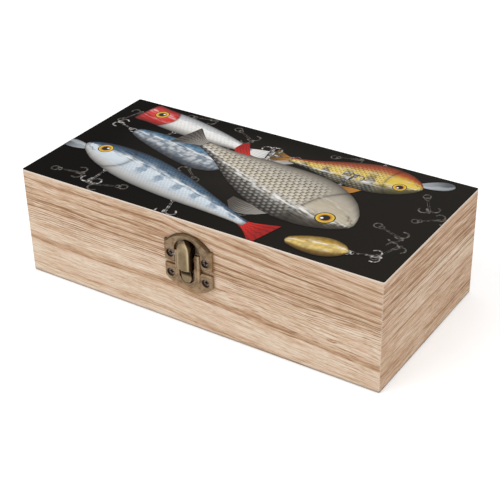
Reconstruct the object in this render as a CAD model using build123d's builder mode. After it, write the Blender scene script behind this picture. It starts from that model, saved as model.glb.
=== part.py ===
from build123d import *
import os
from math import atan2, cos, radians, sin, tau

# A hinged keepsake box for fishing lures: a mitred wooden body and lid, a printed
# sheet on the lid, two stop hinges at the back and a sprung press latch in front.
# All lengths are in millimetres. The origin is the middle of the underside;
# +X runs along the length, +Y towards the hinges and +Z up.

# ---------------------------------------------------------------- wooden carcass
box_length = 200.0
box_width = 96.0
wall = 7.5
body_height = 33.4
seam_gap = 0.15
lid_height = 24.05
panel_rabbet = 3.6
panel_clearance = 0.15
bottom_panel_thickness = 3.2
top_panel_thickness = 3.6
sheet_thickness = 0.9
corner_radius = 1.0
rim_ease = 0.15

# -------------------------------------------------------------------- wood screws
fit_clearance = 0.03
pilot_clearance = 0.05
countersink_angle = 90.0
recess_depth = 0.6
recess_long = 2.3
recess_short = 0.55
latch_screw_head_radius = 1.7
latch_screw_shank_radius = 0.95
latch_screw_length = 6.0
hinge_screw_head_radius = 1.45
hinge_screw_shank_radius = 0.7
hinge_screw_length = 5.5
point_length = 1.6

# ------------------------------------------------------------------------- latch
plate_thickness = 2.0
plate_half_width = 13.4
plate_ease = 0.7
head_sink = 0.9
head_sink_clearance = 0.35
pivot_above_seam = 6.5
pivot_standoff = 1.8
pivot_radius = 0.6
pivot_clearance = 0.05
lever_half_width = 3.8
lever_wall = 1.0
lever_front = 6.1
lever_bottom_above_seam = 1.1
lever_top_above_seam = 15.6
lever_floor = 1.0
lever_round = 0.5
lever_swell_radius = 7.5
lever_crown_radius = 3.5
lever_crown_height = 6.5
lever_boss_radius = 1.1
lever_boss_length = 0.45
nose_height = 3.1
nose_standoff = 0.6
cavity_depth = 4.2
pad_half_width = 2.9
pad_front = 3.4
pad_back = 2.2
pad_below_seam = 6.55
pad_gap = 0.45
pad_round = 0.5
leg_width = 2.65
leg_front = 2.8
leg_standoff = 1.0
leg_above_seam = 8.8
leg_clearance = 0.1
strike_opening_clearance = 0.35
strike_head_clearance = 0.3
strike_band = 2.2
strike_opening_shoulder_above_seam = 10.0
strike_margin = 1.8
strike_shoulder_above_seam = 12.5
strike_shoulder_width = 1.4
strike_web_thickness = 0.3
strike_block_half_width = 1.6
strike_block_front = 1.3
strike_block_height = 2.7
strike_block_clearance = 0.3
strike_block_ramp = 1.3
strike_web_above_seam = 9.2
strike_screw_spacing = 19.6
strike_screw_above_seam = 6.0
lever_plate_margin = 0.3
lever_plate_side_below_seam = 6.9
lever_plate_bottom_below_seam = 12.7
lever_plate_screw_spacing = 19.8
lever_plate_screw_below_seam = 4.6
spring_wire_radius = 0.2
spring_coil_clearance = 0.3
spring_pitch = 0.5
spring_turns = 3
spring_wood_clearance = 0.06
spring_long_leg = 7.6
spring_short_leg = 3.4

# ------------------------------------------------------------------------ hinges
hinge_from_end = 38.0
hinge_width = 20.0
leaf_height = 9.0
leaf_thickness = 0.9
leaf_corner_radius = 1.5
leaf_gap = 0.25
knuckle_count = 5
knuckle_gap = 0.2
hinge_pin_radius = 0.9
hinge_pin_clearance = 0.05
hinge_pin_overhang = 0.5
hinge_pin_ease = 0.3
hinge_screw_spacing = 12.0
hinge_screw_from_edge = 3.4
lid_stop_angle = 105.0
stop_clearance = 0.05
stop_thickness = 0.9
stop_reach = 1.1

# ------------------------------------------------------------------ derived places
front = -box_width / 2
hinge_spacing = box_length - 2 * hinge_from_end
back = box_width / 2
seam = body_height + seam_gap / 2
lid_base = body_height + seam_gap
lid_rail_top = lid_base + lid_height
top_panel_base = lid_rail_top - top_panel_thickness
panel_length = box_length - 2 * (wall - panel_rabbet + panel_clearance)
panel_width = box_width - 2 * (wall - panel_rabbet + panel_clearance)
front_face = Plane(origin=(0, front, 0), x_dir=(1, 0, 0), z_dir=(0, -1, 0))
back_face = Plane(origin=(0, back, 0), x_dir=(-1, 0, 0), z_dir=(0, 1, 0))
lever_side = Plane(origin=(0, front, 0), x_dir=(0, -1, 0), z_dir=(-1, 0, 0))

pivot_height = seam + pivot_above_seam
lever_top = seam + lever_top_above_seam
lever_bottom = seam + lever_bottom_above_seam
lever_crown_base = lever_top - lever_crown_height
lever_axis = lever_front - lever_swell_radius
nose_underside = lever_top - nose_height
leg_inner = lever_half_width + lever_boss_length + leg_clearance
leg_outer = leg_inner + leg_width
leg_bend_height = seam - pad_below_seam - pad_gap + leg_inner
strike_opening = leg_outer + strike_opening_clearance
strike_opening_top = lever_top + strike_head_clearance
strike_bottom = seam + strike_margin
strike_shoulder = seam + strike_shoulder_above_seam
strike_top = strike_opening_top + strike_band
lever_plate_top = seam - lever_plate_margin
strike_screws = [
    (-strike_screw_spacing / 2, seam + strike_screw_above_seam),
    (strike_screw_spacing / 2, seam + strike_screw_above_seam),
]
lever_plate_screw_places = [
    (-lever_plate_screw_spacing / 2, seam - lever_plate_screw_below_seam),
    (lever_plate_screw_spacing / 2, seam - lever_plate_screw_below_seam),
]
knuckle_radius = hinge_pin_radius + hinge_pin_clearance + leaf_thickness
knuckle_length = (hinge_width - (knuckle_count - 1) * knuckle_gap) / knuckle_count
leaf_start = knuckle_radius + leaf_gap
hinge_axis = Plane(origin=(0, back + knuckle_radius, seam), x_dir=(0, 1, 0), z_dir=(1, 0, 0))
hinge_screw_offset = leaf_start + leaf_height - hinge_screw_from_edge

SIDES = {
    "front": ((-1, -1), (1, -1)),
    "right": ((1, -1), (1, 1)),
    "back": ((1, 1), (-1, 1)),
    "left": ((-1, 1), (-1, -1)),
}
os.makedirs("parts", exist_ok=True)


def save(part, name):
    """Label a finished piece and write it to its own file."""
    part.label = name
    export_step(part, f"parts/{name}.step")


# ------------------------------------------------------------------ carcass boards
with BuildPart() as body_envelope:
    Box(box_length, box_width, body_height, align=(Align.CENTER, Align.CENTER, Align.MIN))
    underside_edges = faces().sort_by(Axis.Z)[0].edges()
    fillet(edges().filter_by(Axis.Z) + underside_edges, corner_radius)
    chamfer(faces().sort_by(Axis.Z)[-1].edges(), rim_ease)

with BuildPart(Plane.XY.offset(lid_base)) as lid_envelope:
    Box(box_length, box_width, lid_height, align=(Align.CENTER, Align.CENTER, Align.MIN))
    fillet(edges().filter_by(Axis.Z), corner_radius)
    chamfer(faces().sort_by(Axis.Z)[0].edges(), rim_ease)


def mitred_board(side, envelope, base, height, panel_base, panel_thickness):
    """Add one mitred side of a carcass, rabbeted for its panel, to the current part."""
    (ax, ay), (bx, by) = SIDES[side]
    inner_x = box_length / 2 - wall
    inner_y = box_width / 2 - wall
    with BuildSketch(Plane.XY.offset(base)) as plan:
        with BuildLine():
            Polyline(
                (ax * box_length / 2, ay * box_width / 2),
                (bx * box_length / 2, by * box_width / 2),
                (bx * inner_x, by * inner_y),
                (ax * inner_x, ay * inner_y),
                close=True,
            )
        make_face()
    extrude(plan.sketch, amount=height)
    with BuildSketch(Plane.XY.offset(panel_base)) as rabbet:
        Rectangle(panel_length + 2 * panel_clearance, panel_width + 2 * panel_clearance)
    extrude(rabbet.sketch, amount=panel_thickness, mode=Mode.SUBTRACT)
    add(envelope.part, mode=Mode.INTERSECT)


def drill_pilots(face, places, radius, length):
    """Drill blind pilot holes for screws into the current part, square to a face."""
    with BuildSketch(face) as pilots:
        with Locations(*places):
            Circle(radius + pilot_clearance)
    extrude(pilots.sketch, amount=-(length + pilot_clearance), mode=Mode.SUBTRACT)


def hinge_screw_places(sign):
    """Give the four screw places of both hinges, below (-1) or above (1) the seam."""
    return [
        (hinge * hinge_spacing / 2 + end * hinge_screw_spacing / 2, seam + sign * hinge_screw_offset)
        for hinge in (-1, 1)
        for end in (-1, 1)
    ]


body_rabbet = (0.0, bottom_panel_thickness)
lid_rabbet = (top_panel_base, top_panel_thickness)
latch_pilot = (latch_screw_shank_radius, latch_screw_length - plate_thickness + head_sink)
hinge_pilot = (hinge_screw_shank_radius, hinge_screw_length - leaf_thickness)

with BuildPart() as body_front_board:
    mitred_board("front", body_envelope, 0.0, body_height, *body_rabbet)
    drill_pilots(front_face, lever_plate_screw_places, *latch_pilot)

with BuildPart() as body_back_board:
    mitred_board("back", body_envelope, 0.0, body_height, *body_rabbet)
    drill_pilots(back_face, hinge_screw_places(-1), *hinge_pilot)

with BuildPart() as body_left_end:
    mitred_board("left", body_envelope, 0.0, body_height, *body_rabbet)

with BuildPart() as body_right_end:
    mitred_board("right", body_envelope, 0.0, body_height, *body_rabbet)

with BuildPart() as lid_front_rail:
    mitred_board("front", lid_envelope, lid_base, lid_height, *lid_rabbet)
    drill_pilots(front_face, strike_screws, *latch_pilot)

with BuildPart() as lid_back_rail:
    mitred_board("back", lid_envelope, lid_base, lid_height, *lid_rabbet)
    drill_pilots(back_face, hinge_screw_places(1), *hinge_pilot)

with BuildPart() as lid_left_rail:
    mitred_board("left", lid_envelope, lid_base, lid_height, *lid_rabbet)

with BuildPart() as lid_right_rail:
    mitred_board("right", lid_envelope, lid_base, lid_height, *lid_rabbet)

# ------------------------------------------------------- panels and printed sheet
with BuildPart() as bottom_panel:
    with BuildSketch():
        Rectangle(panel_length, panel_width)
    extrude(amount=bottom_panel_thickness)

with BuildPart() as lid_top_panel:
    with BuildSketch(Plane.XY.offset(top_panel_base)):
        Rectangle(panel_length, panel_width)
    extrude(amount=top_panel_thickness)

with BuildPart() as printed_top_sheet:
    with BuildSketch(Plane.XY.offset(lid_rail_top)):
        Rectangle(box_length, box_width)
        fillet(vertices(), corner_radius)
    extrude(amount=sheet_thickness)


# ------------------------------------------------------------------------- screws
def countersunk_screw(head_radius, shank_radius, length):
    """Turn a pointed countersunk screw on +Z, its head's face at the origin."""
    head_depth = head_radius - shank_radius
    with BuildPart() as screw:
        with BuildSketch(Plane.XZ):
            with BuildLine():
                Polyline(
                    (0, 0),
                    (head_radius, 0),
                    (shank_radius, -head_depth),
                    (shank_radius, point_length - length),
                    (0, -length),
                    close=True,
                )
            make_face()
        revolve(axis=Axis.Z)
        with BuildSketch():
            Rectangle(recess_long * head_radius / latch_screw_head_radius, recess_short)
            Rectangle(recess_short, recess_long * head_radius / latch_screw_head_radius)
        extrude(amount=-recess_depth, mode=Mode.SUBTRACT)
    return screw.part


def screw_group(screw, face, places):
    """Add a copy of a screw to the current part at each place on a face."""
    with Locations(*[face.location * Location((x, z, 0)) for x, z in places]):
        add(screw)


latch_screw = countersunk_screw(
    latch_screw_head_radius - fit_clearance, latch_screw_shank_radius, latch_screw_length
)
hinge_screw = countersunk_screw(
    hinge_screw_head_radius - fit_clearance, hinge_screw_shank_radius, hinge_screw_length
)
latch_screw_face = front_face.offset(plate_thickness - head_sink)
hinge_screw_face = back_face.offset(leaf_thickness)

with BuildPart() as strike_plate_screws:
    screw_group(latch_screw, latch_screw_face, strike_screws)

with BuildPart() as lever_plate_screws:
    screw_group(latch_screw, latch_screw_face, lever_plate_screw_places)

with BuildPart() as hinge_body_screws:
    screw_group(hinge_screw, hinge_screw_face, hinge_screw_places(-1))

with BuildPart() as hinge_lid_screws:
    screw_group(hinge_screw, hinge_screw_face, hinge_screw_places(1))


def screw_seats(face, places, head_radius, shank_radius, sink_radius):
    """Cut countersunk holes for screws whose heads lie on a face of the current part."""
    with Locations(*[face.location * Location((x, z, 0)) for x, z in places]):
        CounterSinkHole(
            radius=shank_radius + pilot_clearance,
            counter_sink_radius=head_radius,
            counter_sink_angle=countersink_angle,
            depth=plate_thickness,
        )
        if sink_radius > head_radius:
            Cylinder(
                sink_radius,
                plate_thickness,
                align=(Align.CENTER, Align.CENTER, Align.MIN),
                mode=Mode.SUBTRACT,
            )


latch_seat = (
    latch_screw_head_radius,
    latch_screw_shank_radius,
    latch_screw_head_radius + head_sink_clearance,
)
hinge_seat = (hinge_screw_head_radius, hinge_screw_shank_radius, hinge_screw_head_radius)

# ------------------------------------------------------------------- strike plate
def arched_outline(half_width, bottom, shoulder, top, shoulder_width=0.0):
    """Draw a plate with a straight foot, upright sides and an arched top as a face."""
    arch_half = half_width - shoulder_width
    with BuildLine() as outline:
        ThreePointArc((-arch_half, shoulder), (0, top), (arch_half, shoulder))
        if shoulder_width > 0:
            Line((-half_width, shoulder), (-arch_half, shoulder))
            Line((arch_half, shoulder), (half_width, shoulder))
        Polyline(
            (-half_width, shoulder),
            (-half_width, bottom),
            (half_width, bottom),
            (half_width, shoulder),
        )
    make_face(outline.edges())


opening_shoulder = seam + strike_opening_shoulder_above_seam
web_base = seam + strike_web_above_seam
block_top = nose_underside - strike_block_clearance
block_bottom = block_top - strike_block_height

with BuildPart() as latch_strike_plate:
    with BuildSketch(front_face):
        arched_outline(
            plate_half_width, strike_bottom, strike_shoulder, strike_top, strike_shoulder_width
        )
    extrude(amount=plate_thickness)
    chamfer(faces().sort_by(Axis.Y)[0].edges(), plate_ease)
    with BuildSketch(front_face):
        arched_outline(strike_opening, strike_bottom, opening_shoulder, strike_opening_top)
    extrude(amount=plate_thickness, mode=Mode.SUBTRACT)
    with BuildSketch(front_face):
        arched_outline(strike_opening, web_base, opening_shoulder, strike_opening_top)
    extrude(amount=strike_web_thickness)
    with BuildSketch(lever_side):
        with BuildLine():
            Polyline(
                (0, block_bottom),
                (strike_web_thickness, block_bottom),
                (strike_block_front, block_bottom + strike_block_ramp),
                (strike_block_front, block_top),
                (0, block_top),
                close=True,
            )
        make_face()
    extrude(amount=strike_block_half_width, both=True)
    screw_seats(latch_screw_face, strike_screws, *latch_seat)

# -------------------------------------------------------------------- lever plate
with BuildPart() as latch_lever_plate:
    with BuildSketch(front_face):
        with BuildLine():
            ThreePointArc(
                (-plate_half_width, seam - lever_plate_side_below_seam),
                (0, seam - lever_plate_bottom_below_seam),
                (plate_half_width, seam - lever_plate_side_below_seam),
            )
            Polyline(
                (plate_half_width, seam - lever_plate_side_below_seam),
                (plate_half_width, lever_plate_top),
                (-plate_half_width, lever_plate_top),
                (-plate_half_width, seam - lever_plate_side_below_seam),
            )
        make_face()
    extrude(amount=plate_thickness)
    chamfer(faces().sort_by(Axis.Y)[0].edges(), plate_ease)
    with BuildSketch(front_face.offset(leg_standoff)):
        with Locations((0, leg_bend_height)):
            Circle(leg_outer)
            Rectangle(
                2 * leg_outer,
                seam + leg_above_seam - leg_bend_height,
                align=(Align.CENTER, Align.MIN),
            )
    extrude(amount=leg_front - leg_standoff)
    chamfer(faces().sort_by(Axis.Y)[0].edges(), plate_ease)
    with BuildSketch(front_face):
        with Locations((0, leg_bend_height)):
            Circle(leg_inner)
            Rectangle(2 * leg_inner, body_height, align=(Align.CENTER, Align.MIN))
    extrude(amount=leg_front, mode=Mode.SUBTRACT)
    with BuildSketch(lever_side):
        with Locations((pivot_standoff, pivot_height)):
            Circle(pivot_radius + fit_clearance)
    extrude(amount=leg_outer, both=True, mode=Mode.SUBTRACT)
    screw_seats(latch_screw_face, lever_plate_screw_places, *latch_seat)

# -------------------------------------------------------------------------- lever
# The thumb pad hangs below the head, thinner and set back under it.
with BuildPart() as thumb_pad:
    with BuildSketch(front_face.offset(pad_back)):
        with Locations((0, seam - pad_below_seam + pad_half_width)):
            Circle(pad_half_width)
            Rectangle(
                2 * pad_half_width,
                lever_bottom + lever_floor - seam + pad_below_seam - pad_half_width,
                align=(Align.CENTER, Align.MIN),
            )
    extrude(amount=pad_front - pad_back)
    fillet(faces().sort_by(Axis.Y)[0].edges().sort_by(Axis.Z)[:-1], pad_round)

with BuildPart() as latch_lever:
    # The head: round-topped, its back falling away below the pivot and its front turned
    # to a shallow swell that closes in a dome over the nose.
    with BuildSketch(front_face.offset(nose_standoff)):
        with Locations((0, lever_top - lever_half_width)):
            Circle(lever_half_width)
        with Locations((0, lever_bottom)):
            Rectangle(
                2 * lever_half_width,
                lever_top - lever_half_width - lever_bottom,
                align=(Align.CENTER, Align.MIN),
            )
    extrude(amount=lever_front - nose_standoff)
    with BuildSketch(lever_side):
        with BuildLine():
            Polyline(
                (lever_front, lever_bottom),
                (lever_front, lever_top),
                (nose_standoff, lever_top),
                (nose_standoff, nose_underside),
                (pivot_standoff - lever_boss_radius, pivot_height),
                (pad_back, lever_bottom),
                close=True,
            )
        make_face()
    extrude(amount=lever_half_width, both=True, mode=Mode.INTERSECT)
    with BuildSketch(lever_side):
        with BuildLine():
            TangentArc(
                (lever_front, lever_crown_base),
                (lever_axis + lever_crown_radius, lever_top),
                tangent=(0, 1),
            )
            Polyline(
                (lever_axis + lever_crown_radius, lever_top),
                (lever_axis, lever_top),
                (lever_axis, lever_bottom),
                (lever_front, lever_bottom),
                (lever_front, lever_crown_base),
            )
        make_face()
    revolve(axis=Axis((0, front - lever_axis, 0), (0, 0, 1)), mode=Mode.INTERSECT)
    shown = faces().sort_by(Axis.Y)[:2]
    rim = [edge for edge in shown.edges() if abs(edge.center().Z - lever_crown_base) > fit_clearance]
    fillet(rim, lever_round)
    add(thumb_pad.part)
    # Bosses that centre the lever between the legs, and the hollow for the spring.
    with BuildSketch(lever_side):
        with Locations((pivot_standoff, pivot_height)):
            Circle(lever_boss_radius)
    extrude(amount=lever_half_width + lever_boss_length, both=True)
    with BuildSketch(lever_side):
        with Locations((0, lever_bottom + lever_floor)):
            Rectangle(
                cavity_depth,
                nose_underside - lever_bottom - lever_floor,
                align=(Align.MIN, Align.MIN),
            )
    extrude(amount=lever_half_width - lever_wall, both=True, mode=Mode.SUBTRACT)
    with BuildSketch(lever_side):
        with Locations((pivot_standoff, pivot_height)):
            Circle(pivot_radius + pivot_clearance)
    extrude(amount=lever_half_width + lever_boss_length, both=True, mode=Mode.SUBTRACT)

with BuildPart() as latch_pivot_pin:
    with BuildSketch(lever_side):
        with Locations((pivot_standoff, pivot_height)):
            Circle(pivot_radius)
    extrude(amount=leg_outer, both=True)

# ------------------------------------------------------------------- latch spring
coil_radius = pivot_radius + spring_coil_clearance + spring_wire_radius
long_leg_tilt = atan2(
    pivot_standoff - coil_radius - spring_wire_radius - spring_wood_clearance, spring_long_leg
)
short_leg_tilt = atan2(
    cavity_depth - pivot_standoff - coil_radius - spring_wire_radius - spring_wood_clearance,
    spring_short_leg,
)
spring_angle = spring_turns * tau + radians(180) - long_leg_tilt - short_leg_tilt
spring_height = spring_pitch * spring_angle / tau
coil_plane = Plane(
    origin=(spring_height / 2, front - pivot_standoff, pivot_height),
    x_dir=(0, -cos(short_leg_tilt), sin(short_leg_tilt)),
    z_dir=(-1, 0, 0),
)
with BuildPart() as latch_spring:
    with BuildLine() as spring_wire:
        coil = Edge.make_helix(spring_pitch, spring_height, coil_radius)
        coil = coil_plane.from_local_coords(coil)
        add(coil)
        Line(coil @ 0, coil @ 0 - (coil % 0) * spring_short_leg)
        Line(coil @ 1, coil @ 1 + (coil % 1) * spring_long_leg)
    start = spring_wire.wires()[0]
    with BuildSketch(Plane(origin=start @ 0, z_dir=start % 0)):
        Circle(spring_wire_radius)
    sweep(path=start, is_frenet=True)


# ------------------------------------------------------------------------- hinges
def hinge_leaf(side, upward):
    """Add one hinge leaf with its own knuckles to the current part.

    side is -1 or 1 for the hinge's place, upward is 1 for the lid leaf and -1 for
    the body leaf, which holds the first and last knuckle. Each knuckle of the lid
    leaf has a heel that meets the body leaf when the lid is open at its stop.
    """
    centre = side * hinge_spacing / 2
    first = 1 if upward > 0 else 0
    starts = [
        index * (knuckle_length + knuckle_gap) - hinge_width / 2
        for index in range(first, knuckle_count, 2)
    ]
    plate_middle = seam + upward * (leaf_start + leaf_height / 2)
    with BuildSketch(back_face) as leaf:
        with Locations((centre, plate_middle)):
            Rectangle(hinge_width, leaf_height)
        free_edge = vertices().sort_by(Axis.Y)[2:] if upward > 0 else vertices().sort_by(Axis.Y)[:2]
        fillet(free_edge, leaf_corner_radius)
        for begin in starts:
            with Locations((centre + begin + knuckle_length / 2, seam + upward * leaf_start / 2)):
                Rectangle(knuckle_length, leaf_start)
    extrude(leaf.sketch, amount=leaf_thickness)
    for begin in starts:
        knuckle_plane = Plane(
            origin=(-centre - begin, back + knuckle_radius, seam),
            x_dir=(0, 1, 0),
            z_dir=(-1, 0, 0),
        )
        with BuildSketch(knuckle_plane) as knuckle:
            Circle(knuckle_radius)
            if upward > 0:
                with Locations(Location((0, 0, 0), (0, 0, -lid_stop_angle))):
                    with Locations((stop_edge, 0)):
                        Rectangle(
                            stop_thickness,
                            knuckle_radius + stop_reach,
                            align=(Align.MIN, Align.MIN),
                        )
        extrude(knuckle.sketch, amount=knuckle_length)
    with BuildSketch(hinge_axis) as pin_bore:
        Circle(hinge_pin_radius + hinge_pin_clearance)
    extrude(pin_bore.sketch, amount=box_length / 2, both=True, mode=Mode.SUBTRACT)
    places = [place for place in hinge_screw_places(upward) if place[0] * side > 0]
    screw_seats(hinge_screw_face, places, *hinge_seat)


def hinge_pin(side):
    """Add one hinge pin with eased ends to the current part."""
    with BuildSketch(hinge_axis.offset(-side * hinge_spacing / 2)) as section:
        Circle(hinge_pin_radius)
    extrude(section.sketch, amount=hinge_width / 2 + hinge_pin_overhang, both=True)
    chamfer(edges().filter_by(GeomType.CIRCLE), hinge_pin_ease)


stop_edge = leaf_thickness - knuckle_radius + stop_clearance

for side, hand in ((1, "left"), (-1, "right")):
    with BuildPart() as body_leaf:
        hinge_leaf(side, -1)
    save(body_leaf.part, f"{hand}_hinge_body_leaf")
    with BuildPart() as lid_leaf:
        hinge_leaf(side, 1)
    save(lid_leaf.part, f"{hand}_hinge_lid_leaf")
    with BuildPart() as pin:
        hinge_pin(side)
    save(pin.part, f"{hand}_hinge_pin")

# ------------------------------------------------------------------------- export
finished = {
    "body_front_board": body_front_board,
    "body_back_board": body_back_board,
    "body_left_end": body_left_end,
    "body_right_end": body_right_end,
    "bottom_panel": bottom_panel,
    "lid_front_rail": lid_front_rail,
    "lid_back_rail": lid_back_rail,
    "lid_left_rail": lid_left_rail,
    "lid_right_rail": lid_right_rail,
    "lid_top_panel": lid_top_panel,
    "printed_top_sheet": printed_top_sheet,
    "latch_strike_plate": latch_strike_plate,
    "latch_lever_plate": latch_lever_plate,
    "latch_lever": latch_lever,
    "latch_pivot_pin": latch_pivot_pin,
    "latch_spring": latch_spring,
    "strike_plate_screws": strike_plate_screws,
    "lever_plate_screws": lever_plate_screws,
    "hinge_body_screws": hinge_body_screws,
    "hinge_lid_screws": hinge_lid_screws,
}
for name, builder in finished.items():
    save(builder.part, name)
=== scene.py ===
"""Looks of a hinged wooden keepsake box with a printed lid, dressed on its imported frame."""

import logging
import math
from dataclasses import dataclass, field
from enum import Enum
from typing import Any, Callable, Mapping, Optional, Sequence, Union

import bmesh
import bpy
from bpy.types import ColorRampElements, ID, Material, Mesh, Node, NodeSocket, Object, World
from mathutils import Matrix, Vector


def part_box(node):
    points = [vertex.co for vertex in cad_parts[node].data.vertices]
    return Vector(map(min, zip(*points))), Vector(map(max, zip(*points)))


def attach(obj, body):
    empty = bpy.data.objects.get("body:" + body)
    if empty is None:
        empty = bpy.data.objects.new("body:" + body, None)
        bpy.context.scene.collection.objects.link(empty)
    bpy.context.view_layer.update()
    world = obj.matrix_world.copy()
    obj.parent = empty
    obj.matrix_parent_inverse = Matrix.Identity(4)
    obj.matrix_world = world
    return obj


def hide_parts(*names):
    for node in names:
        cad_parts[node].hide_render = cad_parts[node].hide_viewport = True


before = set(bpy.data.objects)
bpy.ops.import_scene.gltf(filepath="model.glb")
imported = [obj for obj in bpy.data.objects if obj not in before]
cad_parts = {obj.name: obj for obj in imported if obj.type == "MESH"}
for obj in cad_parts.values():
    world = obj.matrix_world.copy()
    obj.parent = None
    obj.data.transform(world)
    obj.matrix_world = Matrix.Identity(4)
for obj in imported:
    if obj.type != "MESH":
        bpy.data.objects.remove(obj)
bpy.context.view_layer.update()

MM = 0.001
LOG = logging.getLogger("keepsake_box")
SKIN_MAP = "skin"
PLAN_MAP = "plan"
PLAN_UNIT = 10.0  # millimetres to one unit of the plan map
WOOD_FACE = 48.0  # millimetres from the middle to the wood's front and back faces
NEARLY = 1e-3  # millimetres within which two places count as one

Colour = tuple[float, float, float, float]
Point = tuple[float, float]
Band = tuple[float, float]
Number = Union["Value", float, int]


def paint(red: float, green: float, blue: float) -> Colour:
    """Turns a display colour into the linear one that shaders take.

    Args:
        red: Red from 0 to 255.
        green: Green from 0 to 255.
        blue: Blue from 0 to 255.

    Returns:
        The linear colour with full opacity.
    """
    linear = [
        part / 12.92 if part <= 0.04045 else ((part + 0.055) / 1.055) ** 2.4
        for part in (red / 255, green / 255, blue / 255)
    ]
    return (linear[0], linear[1], linear[2], 1.0)


# --------------------------------------------------------------------------- shader desk
def math_node(operation: str, swapped: bool = False) -> Callable[..., "Value"]:
    """Makes a method of Value that adds one Math node.

    Args:
        operation: The node's operation.
        swapped: Whether the value itself comes second.

    Returns:
        The method.
    """
    def method(value: "Value", *others: Number) -> "Value":
        """Works the operation out for the value and what else it takes."""
        return value.math(operation, *((*others, value) if swapped else (value, *others)))

    return method


@dataclass(frozen=True)
class Value:
    """A number in a shader, on which Python's operators add Math nodes."""

    socket: NodeSocket

    __add__ = __radd__ = math_node("ADD")
    __sub__, __rsub__ = math_node("SUBTRACT"), math_node("SUBTRACT", swapped=True)
    __mul__ = __rmul__ = math_node("MULTIPLY")
    __truediv__, __rtruediv__ = math_node("DIVIDE"), math_node("DIVIDE", swapped=True)
    __pow__ = math_node("POWER")
    __abs__ = math_node("ABSOLUTE")
    greatest = math_node("MAXIMUM")
    least = math_node("MINIMUM")
    floor = math_node("FLOOR")
    sine = math_node("SINE")

    def math(self, operation: str, *operands: Number) -> "Value":
        """Adds one Math node.

        Args:
            operation: The node's operation.
            operands: What its sockets take, in order.

        Returns:
            The node's result.
        """
        tree = self.socket.id_data
        added = tree.nodes.new("ShaderNodeMath")
        added.operation = operation
        for socket, operand in zip(added.inputs, operands):
            if isinstance(operand, Value):
                tree.links.new(operand.socket, socket)
            else:
                socket.default_value = operand
        return Value(added.outputs[0])

    def clamped(self) -> "Value":
        """Keeps the number between 0 and 1."""
        return self.least(1.0).greatest(0.0)

    def bell(self, width: float) -> "Value":
        """Gives 1 at zero, falling off smoothly over about a width on each side."""
        return 1.0 / (1.0 + (self / width) ** 2.0)


Feed = Union[Value, NodeSocket, float, Colour, Sequence[float]]


@dataclass(frozen=True)
class Cloud:
    """A soft noise about a half: the lengths of its patches in three directions, and its fineness."""

    x: float
    y: float
    z: float = 1.0
    detail: float = 2.0
    roughness: float = 0.5


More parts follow.
